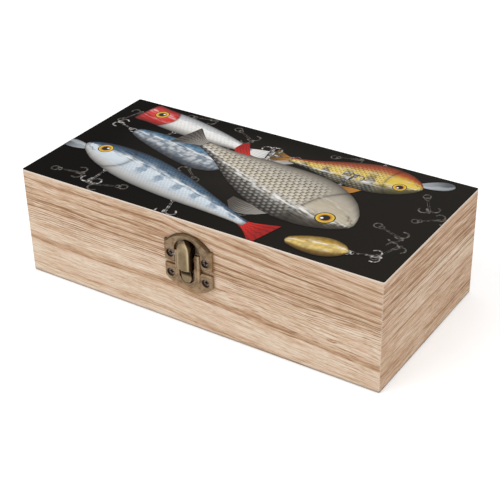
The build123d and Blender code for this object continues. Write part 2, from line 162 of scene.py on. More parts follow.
class ShaderDesk:
    """A node tree, the colour laid on so far and the few ways in which this file adds to it."""

    def __init__(self, owner: Union[Material, World], surface: str) -> None:
        """Takes up the node tree of a material or a surround.

        Args:
            owner: The material or the surround.
            surface: The name of its surface's node.
        """
        owner.use_nodes = True
        self.owner = owner
        self.tree = owner.node_tree
        self.surface = self.tree.nodes[surface]
        self.colour: Feed = paint(0, 0, 0)

    def feed(self, socket: NodeSocket, value: Feed) -> None:
        """Links a value to a socket or sets it there.

        Args:
            socket: The socket.
            value: What it takes.
        """
        if isinstance(value, Value):
            self.tree.links.new(value.socket, socket)
        elif isinstance(value, NodeSocket):
            self.tree.links.new(value, socket)
        else:
            socket.default_value = value

    def node(
        self, kind: str, sockets: Optional[Mapping[Union[str, int], Feed]] = None, **settings: Any,
    ) -> Node:
        """Adds any node but a Math node.

        Args:
            kind: The node's type.
            sockets: What its sockets take, by name or number.
            settings: Its settings, which are set first; "stops" is a ramp's positions and colours.

        Returns:
            The new node.
        """
        added = self.tree.nodes.new(kind)
        for key, setting in settings.items():
            if key == "stops":
                self.set_stops(added.color_ramp.elements, setting)
            else:
                setattr(added, key, setting)
        for key, value in (sockets or {}).items():
            self.feed(added.inputs[key], value)
        return added

    @staticmethod
    def set_stops(elements: ColorRampElements, stops: Sequence[tuple[float, Colour]]) -> None:
        """Gives a ramp its positions and colours.

        Args:
            elements: The ramp's elements.
            stops: The positions and colours.
        """
        while len(elements) < len(stops):
            elements.new(0.5)
        for element, (position, colour) in zip(elements, stops):
            element.position = position
            element.color = colour

    def parts(self, vector: NodeSocket) -> list[Value]:
        """Splits a vector into its three numbers."""
        return [Value(socket) for socket in self.node("ShaderNodeSeparateXYZ", {0: vector}).outputs]

    def place_mm(self) -> list[Value]:
        """Gives the three numbers of the point's place on the object, in millimetres."""
        sockets = {0: self.node("ShaderNodeTexCoord").outputs["Object"], "Scale": 1.0 / MM}
        return self.parts(self.node("ShaderNodeVectorMath", sockets, operation="SCALE").outputs[0])

    def facing(self) -> list[Value]:
        """Gives the three numbers of the surface's direction on the object."""
        return self.parts(self.node("ShaderNodeTexCoord").outputs["Normal"])

    def chart(self, name: str) -> list[Value]:
        """Gives the point's two numbers on one of the print's maps."""
        return self.parts(self.node("ShaderNodeUVMap", uv_map=name).outputs[0])[:2]

    def vector(self, x: Number, y: Number, z: Number = 0.0) -> NodeSocket:
        """Joins three numbers into a vector."""
        return self.node("ShaderNodeCombineXYZ", {0: x, 1: y, 2: z}).outputs[0]

    def cloud(self, cloud: Cloud, x: Number, y: Number, z: Number = 0.0) -> Value:
        """Gives a soft noise from 0 to 1, about a half.

        Args:
            cloud: The noise's patches.
            x: Where in the noise the point is.
            y: Its second number.
            z: Its third number.

        Returns:
            The noise.
        """
        sockets = {
            "Vector": self.vector(x / cloud.x, y / cloud.y, z / cloud.z),
            "Scale": 1.0, "Detail": cloud.detail, "Roughness": cloud.roughness,
        }
        return Value(self.node("ShaderNodeTexNoise", sockets).outputs[0])

    def rise(self, value: Value, low: float, high: float) -> Value:
        """Turns a value smoothly from 0 at low to 1 at high.

        Args:
            value: The value.
            low: Where it is 0.
            high: Where it is 1.

        Returns:
            The turned value.
        """
        sockets = {"Value": value, "From Min": low, "From Max": high}
        made = self.node("ShaderNodeMapRange", sockets, interpolation_type="SMOOTHSTEP")
        return Value(made.outputs[0])

    def fall(self, value: Value, low: float, high: float) -> Value:
        """Turns a value smoothly from 1 at low to 0 at high."""
        return 1.0 - self.rise(value, low, high)

    def ramp(self, factor: Value, stops: Sequence[tuple[float, Colour]]) -> NodeSocket:
        """Looks a colour up on a ramp of positions and colours."""
        return self.node("ShaderNodeValToRGB", {0: factor}, stops=stops).outputs[0]

    def mix(self, factor: Number, first: Feed, second: Feed) -> NodeSocket:
        """Mixes two colours.

        Args:
            factor: How strong the second one is, from 0 to 1.
            first: The first colour.
            second: The second colour.

        Returns:
            The mixture.
        """
        sockets = {0: factor, 6: first, 7: second}
        made = self.node("ShaderNodeMix", sockets, data_type="RGBA", blend_type="MIX", clamp_factor=True)
        return made.outputs[2]

    def coat(self, share: Number, colour: Feed) -> None:
        """Lays a colour over the one so far, as thickly as its share says."""
        self.colour = self.mix(share, self.colour, colour)

    def bump(self, height: Value, depth_mm: float, strength: float) -> NodeSocket:
        """Turns a height from 0 to 1 into a surface direction."""
        sockets = {"Height": height, "Distance": depth_mm * MM, "Strength": strength}
        return self.node("ShaderNodeBump", sockets).outputs[0]

    def finish(self, **sockets: Feed) -> Union[Material, World]:
        """Feeds the surface's sockets.

        Args:
            sockets: What they take, each named with underscores.

        Returns:
            The material or the surround.
        """
        for name, value in sockets.items():
            self.feed(self.surface.inputs[name.replace("_", " ").title().replace("Ior", "IOR")], value)
        return self.owner


def material_desk(name: str) -> ShaderDesk:
    """Starts a material on a Principled surface."""
    return ShaderDesk(bpy.data.materials.new(name), "Principled BSDF")


# ------------------------------------------------------------------------------ finishes
class Grain(Enum):
    """The direction in which a board's grain runs."""

    LENGTH = "along the box"
    WIDTH = "across the box"


@dataclass(frozen=True)
class GrowthRing:
    """One dark growth line: its level on the board, how far it fades upwards, its strength and its core."""

    level: float
    fade: float
    strength: float
    core: float = 0.0


def growth_rings(*rows: tuple[float, ...]) -> tuple[GrowthRing, ...]:
    """Turns rows of level, fade, strength and core into growth lines."""
    return tuple(GrowthRing(*row) for row in rows)


@dataclass(frozen=True)
class CaseWood:
    """Light tan boards whose brown growth lines run on across the seam.

    The lines follow a level, which is the height at the board's left end; fall, spread and
    low_fall say how much they drop from there to the other end. Lengths are in millimetres.
    """

    name: str
    grain: Grain
    rings: tuple[GrowthRing, ...]
    outer_face: float
    fall: float = 0.012
    spread: float = 0.0
    spread_above: float = 34.0
    low_fall: float = 0.0
    low_band: Band = (17.0, 28.0)
    bend_at: float = -15.0
    slant: float = 0.22
    brown_from: float = 33.0
    brown_blend: float = 6.0
    brown: float = 0.18
    low_tone: Band = (10.0, 34.0)
    shift: float = 0.0
    swell: float = 2.4
    wave: float = 1.7
    ripple: float = 0.8
    fleck_level: float = 25.0
    fleck_reach: float = 8.5
    fleck_run: Band = (-55.0, 25.0)
    flecks: float = 0.60
    comb_level: float = 35.0
    comb: float = 1.1
    comb_reach: float = 6.0
    base: float = 0.16
    low_brown: float = 0.0
    ring_run: Band = (-105.0, -10.0)
    level_span: float = 72.0
    half_length: float = 100.0
    foot: Band = (0.3, 2.1)
    crest: Band = (56.3, 57.4)
    glue_line: Band = (0.04, 0.16)
    blush_shift: float = 45.0
    pale: Colour = paint(233, 216, 197)
    tan: Colour = paint(214, 187, 159)
    umber: Colour = paint(184, 147, 115)
    dark: Colour = paint(146, 108, 78)
    pink: Colour = paint(224, 186, 164)
    # painted shadow along the bottom edge
    foot_shadow: Colour = paint(104, 88, 79)
    swells: Cloud = Cloud(80.0, 45.0, 34.0, 1.0)
    waves: Cloud = Cloud(21.0, 14.0, 7.0, 2.0, 0.45)
    ripples: Cloud = Cloud(6.5, 3.0, 2.2)
    uneven: Cloud = Cloud(26.0, 20.0, 2.0)
    lines: Cloud = Cloud(52.0, 12.0, 1 / 0.95, 2.0, 0.65)
    strands: Cloud = Cloud(11.0, 3.0, 1 / 1.5, 3.0, 0.7)
    hair: Cloud = Cloud(9.0, 1 / 0.7, 1 / 2.7, 2.0, 0.6)
    broad: Cloud = Cloud(50.0, 40.0, 8.0)
    lens: Cloud = Cloud(10.0, 6.0, 1 / 1.3)
    blush: Cloud = Cloud(14.0, 16.0, 5.0)
    pores: Cloud = Cloud(3.6, 0.625, 0.2, 1.0)

    def ring_stops(self) -> list[tuple[float, Colour]]:
        """Lays the growth lines out on a ramp over the levels.

        Returns:
            The ramp's positions and tones.
        """
        stops = []
        for ring in self.rings:
            course = [(-0.35 * (ring.fade - ring.core), 0.0), (0.0, ring.strength), (ring.fade, 0.0)]
            if ring.core:
                course.insert(2, (ring.core, ring.strength * 0.75))
            for offset, tone in course:
                stops.append(((ring.level + offset) / self.level_span, (tone, tone, tone, 1.0)))
        return stops

    def level(self, desk: ShaderDesk, run: Value, depth: Value, height: Value) -> Value:
        """Gives a point's level on the board, with the waver of real growth lines.

        Args:
            desk: The material's desk.
            run: The point's place along the grain.
            depth: Its place through the board.
            height: Its height.

        Returns:
            The level.
        """
        drop = (height - self.spread_above).greatest(0.0) * self.spread + self.fall
        if self.low_fall:
            drop = drop + desk.fall(height, *self.low_band) * self.low_fall
        past_bend = run.greatest(self.bend_at) - self.bend_at
        level = height + (run + self.half_length) * self.fall + past_bend * drop
        level = level + (depth - self.outer_face) * self.slant
        wavers = ((self.swells, self.swell), (self.waves, self.wave), (self.ripples, self.ripple))
        for cloud, strength in wavers:
            level = level + (desk.cloud(cloud, run + self.shift, depth, height) - 0.5) * strength
        return level

    def material(self) -> Material:
        """Builds the wood's material.

        Returns:
            The material.
        """
        desk = material_desk(self.name)
        x, y, height = desk.place_mm()
        run, depth = (x, y) if self.grain is Grain.LENGTH else (y, x)
        shifted = run + self.shift
        level = self.level(desk, run, depth, height)
        uneven, lines, strands, hair, broad, lens, pores = (
            desk.cloud(cloud, shifted, depth, level)
            for cloud in (self.uneven, self.lines, self.strands, self.hair, self.broad, self.lens, self.pores)
        )

        upper = desk.rise(level, self.brown_from, self.brown_from + self.brown_blend)
        middle = (level - self.fleck_level).bell(self.fleck_reach) * desk.rise(run, *self.fleck_run)
        tone = self.base + desk.fall(level, *self.low_tone) * self.low_brown + (broad - 0.5) * 0.55
        tone = tone + upper * self.brown + desk.rise(lines, 0.49, 0.64) * (0.15 + upper * 0.22)
        tone = tone + (strands - 0.5) * (0.85 + middle * 0.45 + upper * 0.25) + (hair - 0.5) * 1.25
        tone = tone + desk.rise(lens, 0.57, 0.71) * (middle * 0.8 + 0.2) * self.flecks
        ring = Value(desk.ramp(level / self.level_span, self.ring_stops()))
        ring = ring * (desk.rise(run, *self.ring_run) * 0.35 + 0.65)
        comb = desk.rise((level * 5.6 + lines * 7.0).sine(), 0.35, 0.95)
        comb = comb * (level - self.comb_level).bell(self.comb_reach)
        tone = tone + ring * (uneven * 1.1 + 0.35) * 0.70 + comb * uneven * self.comb
        desk.colour = desk.ramp(
            tone.clamped(), ((0.0, self.pale), (0.34, self.tan), (0.66, self.umber), (1.0, self.dark)),
        )

        blush = desk.cloud(self.blush, shifted, depth, level + self.blush_shift)
        desk.coat(desk.rise(blush, 0.45, 0.75) * 0.30, self.pink)
        desk.coat(desk.rise(pores, 0.57, 0.70) * 0.36, self.dark)
        nx, ny, nz = desk.facing()
        # painted highlight: eased edges, which face between the board's faces, made paler where they would
        # catch the light
        edge_highlight = desk.fall(abs(nx).greatest(abs(ny)).greatest(abs(nz)), 0.86, 0.985)
        desk.coat(edge_highlight * 0.24, self.pale)
        desk.coat(desk.rise(height, *self.crest) * 0.45, self.pale)
        # painted shadow: darker along the bottom edge, where the box stands on the floor
        desk.coat(desk.fall(height, *self.foot) * (0.5 + uneven * 0.4), self.foot_shadow)
        mitre = abs((abs(x) - self.half_length) - (abs(y) - WOOD_FACE))
        glue = desk.fall(mitre, *self.glue_line) * desk.rise(abs(nz), 0.7, 0.9)
        desk.coat(glue * 0.55, self.dark)

        relief = (1.0 - tone) * 0.6 + desk.fall(pores, 0.58, 0.76) * 0.4
        return desk.finish(
            base_color=desk.colour, roughness=0.58 + tone * 0.14, normal=desk.bump(relief, 0.09, 0.55),
            specular_ior_level=0.25,
        )


@dataclass(frozen=True)
class PanelVeneer:
    """Thin pale plywood with fine straight grain along the box."""

    name: str
    pale: Colour = paint(224, 203, 174)
    tan: Colour = paint(202, 174, 140)
    fleck: Colour = paint(164, 132, 98)
    sway_reach: float = 6.0
    sways: Cloud = Cloud(60.0, 22.0)
    flames: Cloud = Cloud(130.0, 6.0, 9.0, 3.0, 0.6)
    hair: Cloud = Cloud(9.0, 1 / 2.6)
    dashes: Cloud = Cloud(3.4, 1 / 3.4, 1.0, 1.0)

    def material(self) -> Material:
        """Builds the veneer's material.

        Returns:
            The material.
        """
        desk = material_desk(self.name)
        x, y, z = desk.place_mm()
        swayed = y + (desk.cloud(self.sways, x, y, z) - 0.5) * self.sway_reach
        hair = desk.cloud(self.hair, x, swayed, z)
        tone = (desk.cloud(self.flames, x, swayed, z) - 0.5) * 1.5 + (hair - 0.5) * 0.5 + 0.5
        desk.colour = desk.mix(tone.clamped(), self.pale, self.tan)
        desk.coat(desk.rise(desk.cloud(self.dashes, x, y, z), 0.60, 0.72) * 0.5, self.fleck)
        return desk.finish(
            base_color=desk.colour, roughness=0.62 + hair * 0.1, normal=desk.bump(1.0 - hair, 0.05, 0.5),
            specular_ior_level=0.3,
        )


@dataclass(frozen=True)
class ScrewRows:
    """Where the latch's four screws sit: a mirrored column and two rows."""

    column: float
    low_row: float
    high_row: float

    def radius(self, desk: ShaderDesk, x: Value, z: Value) -> Value:
        """Gives the distance to the nearest screw's axis.

        Args:
            desk: The material's desk.
            x: The point's place along the box.
            z: Its height.

        Returns:
            The distance.
        """
        middle = (self.low_row + self.high_row) / 2.0
        row = desk.rise(z, middle - 0.05, middle + 0.05) * (self.high_row - self.low_row) + self.low_row
        return ((abs(x) - self.column) ** 2.0 + (z - row) ** 2.0) ** 0.5


@dataclass(frozen=True)
class AgedBronze:
    """Antique bronze plating with tarnish and dark specks; painted shade on its sides, tops and hollows,
    painted highlights on its edges, and paler proudest faces.

    Heights are those on the closed box, and bands that reach out count from the wood's face,
    all in millimetres. Knob and shadow count down from the overhang, strap_edge out from the strap.
    """

    name: str
    proud: float = 6.1
    dark_to: float = 1.7
    # strength of the painted highlight on bevels
    bevel_highlight: float = 0.35
    rolled: float = 0.6
    # strength of the painted shade on side faces near the wood
    wall_shade: float = 0.6
    # strength of the painted shade on faces that turn upwards
    crown: float = 0.0
    overhang: float = 0.0
    strap: float = 0.0
    # strength of the painted shade and glint on the lever head
    swell: float = 0.0
    warm_below: float = 0.0
    screws: Optional[ScrewRows] = None
    warm_blend: Band = (5.0, 2.0)
    # reach of the painted shade round each screw
    screw_hollow: Band = (1.9, 2.5)
    knob: Band = (2.4, 1.8)
    shadow: Band = (2.0, 0.9)
    shadow_reach: Band = (3.5, 3.9)
    strap_edge: Band = (1.3, 1.9)
    strap_heights: Band = (28.5, 31.5)
    strap_reach: Band = (2.3, 2.7)
    # where the painted glint runs along the lever head
    glint_heights: Band = (31.0, 46.0)
    glint_turn: float = 0.37
    glint_width: float = 0.035
    # how far a face must turn right and up to take painted shade
    shade_turn: Band = (0.385, 0.43)
    bare_reach: Band = (0.5, 1.5)
    # pale colour of painted highlights and of rubbed wear
    wear_and_highlight: Colour = paint(190, 171, 136)
    plating: Colour = paint(144, 124, 100)
    tarnish: Colour = paint(114, 92, 69)
    # painted shade: the colour of the side faces, which don't face the front
    side: Colour = paint(88, 66, 40)
    # dark brown of painted shade, and of real specks of patina
    speck_and_shade: Colour = paint(46, 33, 19)
    # near black of painted shade
    deep_shade: Colour = paint(26, 18, 10)
    copper: Colour = paint(188, 148, 106)
    mottle: Cloud = Cloud(2.8, 2.8, 2.8, 4.0, 0.62)
    specks: Cloud = Cloud(0.625, 0.625, 0.625, 2.0, 0.7)
    scratches: Cloud = Cloud(1 / 0.6, 1.0, 1 / 3.0, 3.0, 0.7)
    scratch_slant: float = 0.8 / 3.0

    def material(self) -> Material:
        """Builds the plating's material.

        Returns:
            The material.
        """
        desk = material_desk(self.name)
        x, y, z = desk.place_mm()
        out = abs(y) - WOOD_FACE
        nx, ny, nz = desk.facing()
        cloud = desk.cloud(self.mottle, x, y, z)
        speck = desk.cloud(self.specks, x, y, z)
        scratch = desk.cloud(self.scratches, x, y, z + x * self.scratch_slant)

        desk.colour = desk.mix(desk.rise(cloud + (speck - 0.5) * 0.4, 0.38, 0.68), self.plating, self.tarnish)
        # side faces, those that don't face the front, take painted shade
        side = desk.fall(abs(ny), 0.15, self.rolled)
        low = desk.fall(out, self.dark_to * 0.2, self.dark_to)
        if self.warm_below:
            below, above = self.warm_blend
            warm = desk.fall(z + cloud * 3.0, self.warm_below - below, self.warm_below + above)
            desk.coat(warm * 0.5, self.copper)
        # painted shade on the side faces
        desk.coat(side * (0.55 + cloud * 0.5), self.side)
        # painted shade on side faces near the wood, with real dark specks of patina
        desk.coat((side * low * self.wall_shade + desk.rise(speck, 0.62, 0.8) * 0.25).clamped(), self.speck_and_shade)
        # painted shade on faces that turn upwards
        desk.coat(desk.rise(nz, 0.2, 0.6) * desk.fall(abs(ny), 0.85, 0.98) * self.crown, self.speck_and_shade)
        if self.screws:
            # painted shade: a dark ring round each screw's seat
            desk.coat(desk.fall(self.screws.radius(desk, x, z), *self.screw_hollow) * 0.6, self.speck_and_shade)
        # how far a face of the lever head turns right and up; the far-turned ones take painted shade
        turn = nx + nz ** 3.0 * 0.84
        flank = desk.rise(turn, *self.shade_turn) * self.swell
        # painted shade on the lever head's top and right flank
        if self.swell:
            desk.coat(desk.rise(nz, 0.55, 0.95) * self.swell * 0.6, self.side)
            desk.coat(flank * 0.95, self.speck_and_shade)
        if self.overhang:
            knob, shadow = ([self.overhang - drop for drop in band] for band in (self.knob, self.shadow))
            desk.coat(desk.fall(z, *knob) * 0.27, self.wear_and_highlight)
            desk.coat(desk.rise(z, *shadow) * desk.fall(out, *self.shadow_reach) * 0.9, self.deep_shade)
        if self.strap:
            edge, outside = (self.strap + reach for reach in self.strap_edge)
            # painted shade on the inner half of each strap
            inner = desk.fall(abs(x), self.strap, edge) * desk.rise(z, *self.strap_heights)
            desk.coat(inner * 0.55, self.side)
            # painted highlight along each strap's outer edge
            strap_highlight = desk.rise(abs(x), edge, outside) * desk.rise(out, *self.strap_reach)
            desk.coat(strap_highlight * 0.45, self.wear_and_highlight)

        # painted highlight on the bevels, which face between front and side
        edge_highlight = desk.rise(abs(ny), 0.3, 0.62) * desk.fall(abs(ny), 0.90, 0.985)
        lit_and_rubbed = edge_highlight * (self.bevel_highlight * 0.6 + cloud * self.bevel_highlight)
        # paler towards the proudest faces
        lit_and_rubbed = lit_and_rubbed + desk.rise(out, self.proud * 0.8, self.proud) * 0.2
        if self.swell:
            lit_and_rubbed = lit_and_rubbed * (1.0 - desk.rise(nz, 0.06, 0.55) * 0.5) * (1.0 - flank)
            # painted glint along a ridge of the lever head
            glint_line = (turn - self.glint_turn).bell(self.glint_width) * desk.rise(z, *self.glint_heights)
            lit_and_rubbed = lit_and_rubbed + glint_line * desk.fall(nz, 0.5, 0.72) * 0.8
        desk.coat((lit_and_rubbed * (1.0 - low * 0.6)).clamped(), self.wear_and_highlight)
        return desk.finish(
            base_color=desk.colour,
            metallic=1.0 - desk.fall(out, *self.bare_reach) * 0.6,
            roughness=0.36 + cloud * 0.18 + low * 0.1,
            normal=desk.bump(scratch * 0.5 + cloud * 0.5, 0.035, 0.5),
        )


@dataclass(frozen=True)
class DrawnSteel:
    """Bright drawn steel of the pins and the spring, with fine marks from the die."""

    name: str
    bright: Colour = paint(196, 192, 182)
    dull: Colour = paint(128, 122, 112)
    marks: Cloud = Cloud(1.25, 0.2, 0.2, 3.0, 0.65)

    def material(self) -> Material:
        """Builds the steel's material.

        Returns:
            The material.
        """
        desk = material_desk(self.name)
        marks = desk.cloud(self.marks, *desk.place_mm())
        colour = desk.mix(desk.rise(marks, 0.35, 0.7), self.bright, self.dull)
        return desk.finish(base_color=colour, metallic=1.0, roughness=0.22 + marks * 0.2)


@dataclass(frozen=True)
class ScrewPlating:
    """Dark zinc on the crosshead screws, with painted shade: black down in the recess and in the middle of
    the head.
    """

    name: str
    face_out: float
    screws: Optional[ScrewRows] = None
    recess: Band = (0.03, 0.22)
    rim: Colour = paint(138, 126, 122)
    # near black of painted shade
    plating: Colour = paint(92, 80, 76)
    deep_shade: Colour = paint(20, 14, 14)
    mottle: Cloud = Cloud(1 / 1.4, 1 / 1.4, 1 / 1.4, 3.0, 0.65)

    def material(self) -> Material:
        """Builds the screw's material.

        Returns:
            The material.
        """
        desk = material_desk(self.name)
        x, y, z = desk.place_mm()
        mottle = desk.cloud(self.mottle, x, y, z)
        desk.colour = desk.mix(desk.rise(mottle, 0.35, 0.7), self.rim, self.plating)
        # painted shade: black in the cross recess, behind the head's face
        desk.coat(desk.rise(self.face_out - (abs(y) - WOOD_FACE), *self.recess), self.deep_shade)
        if self.screws:
            # painted shade in the middle of each latch screw
            desk.coat(desk.fall(self.screws.radius(desk, x, z), 0.2, 1.0), self.deep_shade)
        return desk.finish(
            base_color=desk.colour, metallic=0.9, roughness=0.36 + mottle * 0.2,
            normal=desk.bump(mottle, 0.02, 0.4),
        )


@dataclass(frozen=True)
class GroundPrint:
    """The sheet: a near-black print with a faint smoky bloom, on a white core that shows at the edge."""

    name: str
    bloom_middle: Point = (-14.0, 6.0)
    bloom_reach: Point = (62.0, 34.0)
    paler_run: Band = (-90.0, 90.0)
    black: Colour = paint(13, 10, 8)
    smoke: Colour = paint(60, 56, 50)
    core: Colour = paint(243, 231, 218)
    core_shade: Colour = paint(220, 206, 192)
    drifts: Cloud = Cloud(26.0, 18.0, 1.0, 3.0, 0.55)
    dots: Cloud = Cloud(1 / 3.0, 1 / 3.0, 1.0, 1.0)
    fibres: Cloud = Cloud(2.0, 2.0, 1 / 6.0)

    def material(self) -> Material:
        """Builds the sheet's material.

        Returns:
            The material.
        """
        desk = material_desk(self.name)
        x, y, z = desk.place_mm()
        drift = desk.cloud(self.drifts, x, y)
        dots = desk.cloud(self.dots, x, y)
        far = sum(
            ((place - middle) / reach) ** 2.0
            for place, middle, reach in zip((x, y), self.bloom_middle, self.bloom_reach)
        )
        bloom = desk.fall(far + (drift - 0.5) * 1.2, 0.1, 1.5) * drift * 0.4
        bloom = bloom + desk.rise(x, *self.paler_run) * 0.3
        ground = desk.mix((bloom + (dots - 0.5) * 0.10).clamped(), self.black, self.smoke)
        core = desk.mix(desk.cloud(self.fibres, x, y, z), self.core, self.core_shade)
        return desk.finish(
            base_color=desk.mix(desk.rise(desk.facing()[2], 0.5, 0.8), core, ground),
            roughness=0.62 + (dots - 0.5) * 0.1,
            specular_ior_level=0.02,
            normal=desk.bump(dots, 0.01, 0.3),
        )


@dataclass(frozen=True)
class LurePrint:
    """A printed lure body: back, flank and belly, shaded round, with its markings.

    The skin map runs from nose (0) to tail (1) and from belly (0) to back (1);
    the plan map is in lengths of ten millimetres.
    """

    name: str
    back: Colour
    flank: Colour
    belly: Colour
    mark: Colour = paint(34, 30, 28)
    shade: Colour = paint(22, 18, 17)
    glint: Colour = paint(250, 250, 248)
    scales: float = 0.0
    scale_size: float = 0.30
    bars: float = 0.0
    bar_count: float = 9.0
    dimples: float = 0.0
    head: Optional[Colour] = None
    head_share: float = 0.27
    gill: float = 0.6
    shine: float = 0.8
    mottle: Cloud = Cloud(1 / 2.2, 1 / 3.0, 1.0, 3.0)
    streaks: Cloud = Cloud(1 / 1.3, 1 / 7.0)

    def scale_net(self, desk: ShaderDesk, u: Value, v: Value, cloud: Value) -> tuple[Value, Value]:
        """Draws rows of overlapping scales.

        Args:
            desk: The material's desk.
            u: Place along the body, in tens of millimetres.
            v: Place across it, in tens of millimetres.
            cloud: A soft noise that makes the rows waver.

        Returns:
            How much of a point is a scale's dark rim, and how much its bright crown.
        """
        row = (v + cloud * 0.10) / (self.scale_size * 0.62)
        line = row.floor()
        place = (u + cloud * 0.08) / self.scale_size + line * 0.5
        beside, above = place - place.floor() - 0.5, row - line - 0.5
        out = ((beside + 0.22) ** 2.0 + (above * 0.9) ** 2.0) ** 0.5
        return desk.rise(out, 0.46, 0.66), desk.fall(out, 0.12, 0.42)

    def mark_body(
        self, desk: ShaderDesk, plan: Sequence[Value], along: Value, across: Value, cloud: Value,
    ) -> None:
        """Draws the markings of the lure's kind over its back, flank and belly.

        Args:
            desk: The material's desk.
            plan: The point's place on the plan map.
            along: Its place from nose (0) to tail (1).
            across: Its place from belly (-1) to back (1).
            cloud: A soft noise that keeps the markings uneven.
        """
        body = desk.rise(along, self.head_share - 0.03, self.head_share + 0.04) if self.gill else 1.0
        if self.bars:
            beat = (along * (self.bar_count * math.tau) + across * 0.9 + (cloud - 0.5) * 3.0).sine()
            bars = desk.rise(beat, 0.1, 0.75) * desk.rise(across, -0.55, 0.1) * body
            desk.coat(bars * self.bars, self.mark)
        if self.scales:
            rim, crown = self.scale_net(desk, plan[0], plan[1], cloud)
            net = body * desk.rise(across, -0.95, -0.5) * self.scales
            desk.coat(rim * net, self.mark)
            desk.coat(crown * net * 0.35, self.glint)
        if self.dimples:
            cells = desk.node(
                "ShaderNodeTexVoronoi",
                {"Vector": desk.vector(*plan), "Scale": 4.2, "Smoothness": 0.4, "Randomness": 0.8},
                feature="SMOOTH_F1",
            )
            desk.coat(desk.rise(Value(cells.outputs[0]), 0.25, 0.75) * self.dimples, self.mark)
        if self.head:
            neck = along + across * across * 0.05
            desk.coat(desk.fall(neck, self.head_share - 0.01, self.head_share + 0.02), self.head)
        if self.gill:
            arc = (along - (self.head_share - across * across * 0.06)).bell(0.008)
            mouth = (across + 0.10 + along * 3.0).bell(0.06) * desk.fall(along, 0.06, 0.09)
            desk.coat((arc + mouth).clamped() * self.gill, self.shade)

    def material(self) -> Material:
        """Builds the body's material.

        Returns:
            The material.
        """
        desk = material_desk(self.name)
        along, rise = desk.chart(SKIN_MAP)
        across = rise * 2.0 - 1.0
        plan = desk.chart(PLAN_MAP)
        cloud = desk.cloud(self.mottle, *plan)
        edge = across + (cloud - 0.5) * 0.22
        desk.colour = desk.mix(desk.rise(edge, 0.12, 0.62), self.flank, self.back)
        desk.coat(desk.fall(edge, -0.72, -0.28), self.belly)
        self.mark_body(desk, plan, along, across, cloud)

        streak = desk.cloud(self.streaks, *plan)
        gloss = (across - 0.36).bell(0.10) * desk.rise(streak, 0.38, 0.62)
        low_gloss = (across + 0.34).bell(0.08) * desk.rise(streak, 0.45, 0.7) * 0.5
        desk.coat(((gloss + low_gloss) * self.shine).clamped(), self.glint)
        desk.coat(desk.fall(across, -1.0, 0.1) * 0.35, self.shade)
        desk.coat((abs(across) ** 3.2 * 0.85).clamped(), self.shade)
        tips = 1.0 - desk.rise(along, 0.0, 0.03) * desk.fall(along, 0.97, 1.0)
        desk.coat(tips * 0.6, self.shade)
        return desk.finish(base_color=desk.colour, roughness=0.5 + cloud * 0.08, specular_ior_level=0.1)


@dataclass(frozen=True)
class FinPrint:
    """A printed fin, bib or feather with fine rays that run out to its edge."""

    name: str
    root: Colour
    tip: Colour
    line: Colour
    rays: float = 9.0
    strength: float = 0.7
    frays: Cloud = Cloud(1 / 3.0, 1 / 14.0)

    def material(self) -> Material:
        """Builds the fin's material.

        Returns:
            The material.
        """
        desk = material_desk(self.name)
        along, across = desk.chart(SKIN_MAP)
        fray = desk.cloud(self.frays, along, across)
        desk.colour = desk.mix(desk.rise(along + (fray - 0.5) * 0.4, 0.1, 0.9), self.root, self.tip)
        beat = (across * (self.rays * math.tau) + (fray - 0.5) * 2.5).sine()
        desk.coat(desk.rise(beat, 0.2, 0.8) * self.strength, self.line)
        return desk.finish(base_color=desk.colour, roughness=0.55, specular_ior_level=0.1)


@dataclass(frozen=True)
class WirePrint:
    """Printed steel wire: bright along some stretches and lost in shadow along others."""

    name: str
    bright: Colour = paint(206, 202, 198)
    grey: Colour = paint(112, 108, 106)
    lost: Colour = paint(40, 36, 34)
    play: Cloud = Cloud(1.8, 1.8, 1.0, 2.0, 0.6)

    def material(self) -> Material:
        """Builds the wire's material.

        Returns:
            The material.
        """
        desk = material_desk(self.name)
        play = desk.cloud(self.play, *desk.place_mm()[:2])
        colour = desk.ramp(play, ((0.34, self.lost), (0.48, self.grey), (0.64, self.bright)))
        return desk.finish(base_color=colour, roughness=0.5, specular_ior_level=0.1)


@dataclass(frozen=True)
class EyePrint:
    """A printed eye: black pupil with a glint, a ringed iris and a dark rim."""

    name: str
    iris: Colour = paint(226, 190, 60)
    inner: Colour = paint(190, 120, 30)
    pupil: Colour = paint(12, 10, 10)
    glint: Colour = paint(250, 250, 250)
    radius: float = 0.26
    glint_place: Point = (0.05, 0.06)
    rays: Cloud = Cloud(1 / 14.0, 1 / 14.0)

    def material(self) -> Material:
        """Builds the eye's material.

        Returns:
            The material.
        """
        desk = material_desk(self.name)
        u, v = desk.chart(PLAN_MAP)
        out = (u * u + v * v) ** 0.5 / self.radius
        rays = desk.cloud(self.rays, u, v)
        desk.colour = desk.mix(desk.rise(out + (rays - 0.5) * 0.3, 0.5, 0.85), self.inner, self.iris)
        desk.coat(desk.fall(out, 0.46, 0.54), self.pupil)
        desk.coat(desk.rise(out, 0.84, 0.92), self.pupil)
        spot = ((u - self.glint_place[0]) ** 2.0 + (v - self.glint_place[1]) ** 2.0) ** 0.5
        desk.coat(desk.fall(spot, 0.03, 0.05), self.glint)
        return desk.finish(base_color=desk.colour, roughness=0.45, specular_ior_level=0.12)


# ---------------------------------------------------------------------------- assemblies
def dress(material: Material, *nodes: str) -> None:
    """Gives nodes of the frame their material.

    Args:
        material: What all of them are made of.
        nodes: The nodes' names.
    """
    for node in nodes:
        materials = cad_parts[node].data.materials
        if not materials:
            materials.append(material)
        for index in range(len(materials)):
            materials[index] = material
        LOG.info("dressed %s in %s", node, material.name)


def take_up(*pieces: Object) -> None:
    """Selects some pieces and nothing else, with the first as the active one.

    Args:
        pieces: The pieces; with none, nothing stays selected.
    """
    bpy.ops.object.select_all(action="DESELECT")
    for piece in reversed(pieces):
        piece.select_set(True)
        bpy.context.view_layer.objects.active = piece


